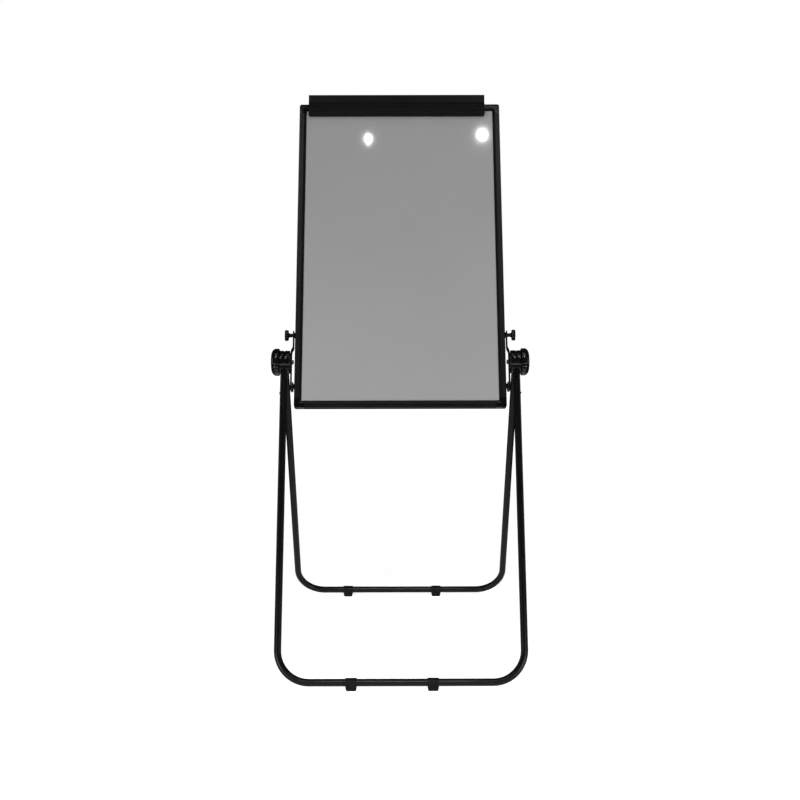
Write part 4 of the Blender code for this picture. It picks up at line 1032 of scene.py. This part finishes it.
def makeFloor():
    s = studio
    leaveAll()
    bpy.ops.mesh.primitive_plane_add(size=2 * s["floorHalf"])
    floor = newPiece("studioFloor")
    bpy.ops.mesh.subdivide(number_cuts=s["floorCuts"])
    leaveAll()
    paper = bpy.data.materials.new("studioPaper")
    paper.use_nodes = True
    tree = paper.node_tree
    shader = tree.nodes["Principled BSDF"]
    shader.inputs["Roughness"].default_value = s["paperRough"]
    shader.inputs["Specular IOR Level"].default_value = s["paperGloss"]
    shader.inputs["Emission Color"].default_value = (1, 1, 1, 1)
    # white to the camera, mirrored by gloss only under the easel, a plain bounce on matt surfaces
    path = tree.nodes.new("ShaderNodeLightPath")
    tone = addRange(tree, path, "Is Camera Ray", (0.0, s["floorBounce"]), (1.0, s["floorSeen"]), False)
    linkNodes(tree, tone, "Result", shader, "Base Color")
    coords = tree.nodes.new("ShaderNodeTexCoord")
    reach = tree.nodes.new("ShaderNodeVectorMath")
    reach.operation = "LENGTH"
    linkNodes(tree, coords, "Object", reach, 0)
    fade = addRange(tree, reach, "Value", (s["fadeFrom"], s["floorGlow"]), (s["fadeTo"], s["glowEdge"]))
    seen = tree.nodes.new("ShaderNodeMath")
    seen.operation = "MULTIPLY"
    linkNodes(tree, fade, "Result", seen, 0)
    linkNodes(tree, path, "Is Camera Ray", seen, 1)
    near = addRange(tree, reach, "Value", (s["mirrorFrom"], s["mirrorGlow"]), (s["mirrorTo"], 0.0))
    glow = tree.nodes.new("ShaderNodeMath")
    glow.operation = "MULTIPLY_ADD"
    linkNodes(tree, near, "Result", glow, 0)
    linkNodes(tree, path, "Is Glossy Ray", glow, 1)
    linkNodes(tree, seen, "Value", glow, 2)
    bounce = tree.nodes.new("ShaderNodeMath")
    bounce.operation = "MULTIPLY_ADD"
    linkNodes(tree, path, "Is Diffuse Ray", bounce, 0)
    bounce.inputs[1].default_value = s["bounceGlow"]
    linkNodes(tree, glow, "Value", bounce, 2)
    linkNodes(tree, bounce, "Value", shader, "Emission Strength")
    floor.data.materials.append(paper)


def makeRoom():
    # white behind the easel, dim all round it
    world = bpy.data.worlds.new("studioRoom")
    bpy.context.scene.world = world
    world.use_nodes = True
    tree = world.node_tree
    sky = tree.nodes["Background"]
    path = tree.nodes.new("ShaderNodeLightPath")
    tone = addRange(tree, path, "Is Camera Ray", (0.0, studio["roomTone"]), (1.0, 1.0), False)
    linkNodes(tree, tone, "Result", sky, "Strength")
    sky.inputs["Color"].default_value = (1, 1, 1, 1)


def addSoftbox(name, power, size, place, target, shape="RECTANGLE", spread=180.0):
    leaveAll()
    bpy.ops.object.light_add(type="AREA", location=place)
    box = bpy.context.object
    box.name = name
    box.data.energy = power
    box.data.shape = shape
    box.data.size, box.data.size_y = size
    box.data.spread = math.radians(spread)
    box.visible_camera = False
    aim = Vector(target) - Vector(place)
    box.rotation_euler = aim.to_track_quat("-Z", "Y").to_euler()


makeFloor()
makeRoom()
for name, (power, size, place, aim) in studio["boxes"].items():
    for side in (-1, 1) if place[0] else (1,):
        mirror = Vector((side, 1, 1))
        addSoftbox(f"{name}Box{side}", power, size, mirror * Vector(place), mirror * Vector(aim))
for i, (power, size, place, aim) in enumerate(studio["strips"]):
    addSoftbox(f"strip{i + 1}", power, size, place, aim, spread=studio["stripSpread"])
for i, (power, size, place) in enumerate(studio["lamps"]):
    addSoftbox(f"lamp{i + 1}", power, size, place, studio["lampAim"], "ELLIPSE")

view = {"place": (-0.0092, -3.5137, 1.3134), "down": 9.69, "yaw": -0.155, "roll": 0.10,
        "lens": 56.055, "sensor": 36.0}
leaveAll()
bpy.ops.object.camera_add(
    location=view["place"],
    rotation=(math.radians(90 - view["down"]), math.radians(view["roll"]), math.radians(view["yaw"])),
)
camera = bpy.context.object
camera.name = "easelCamera"
camera.data.sensor_width = view["sensor"]
camera.data.lens = view["lens"]
bpy.context.scene.camera = camera
bpy.context.scene.view_settings.view_transform = "Standard"
leaveAll()
print("easel: studio ready")
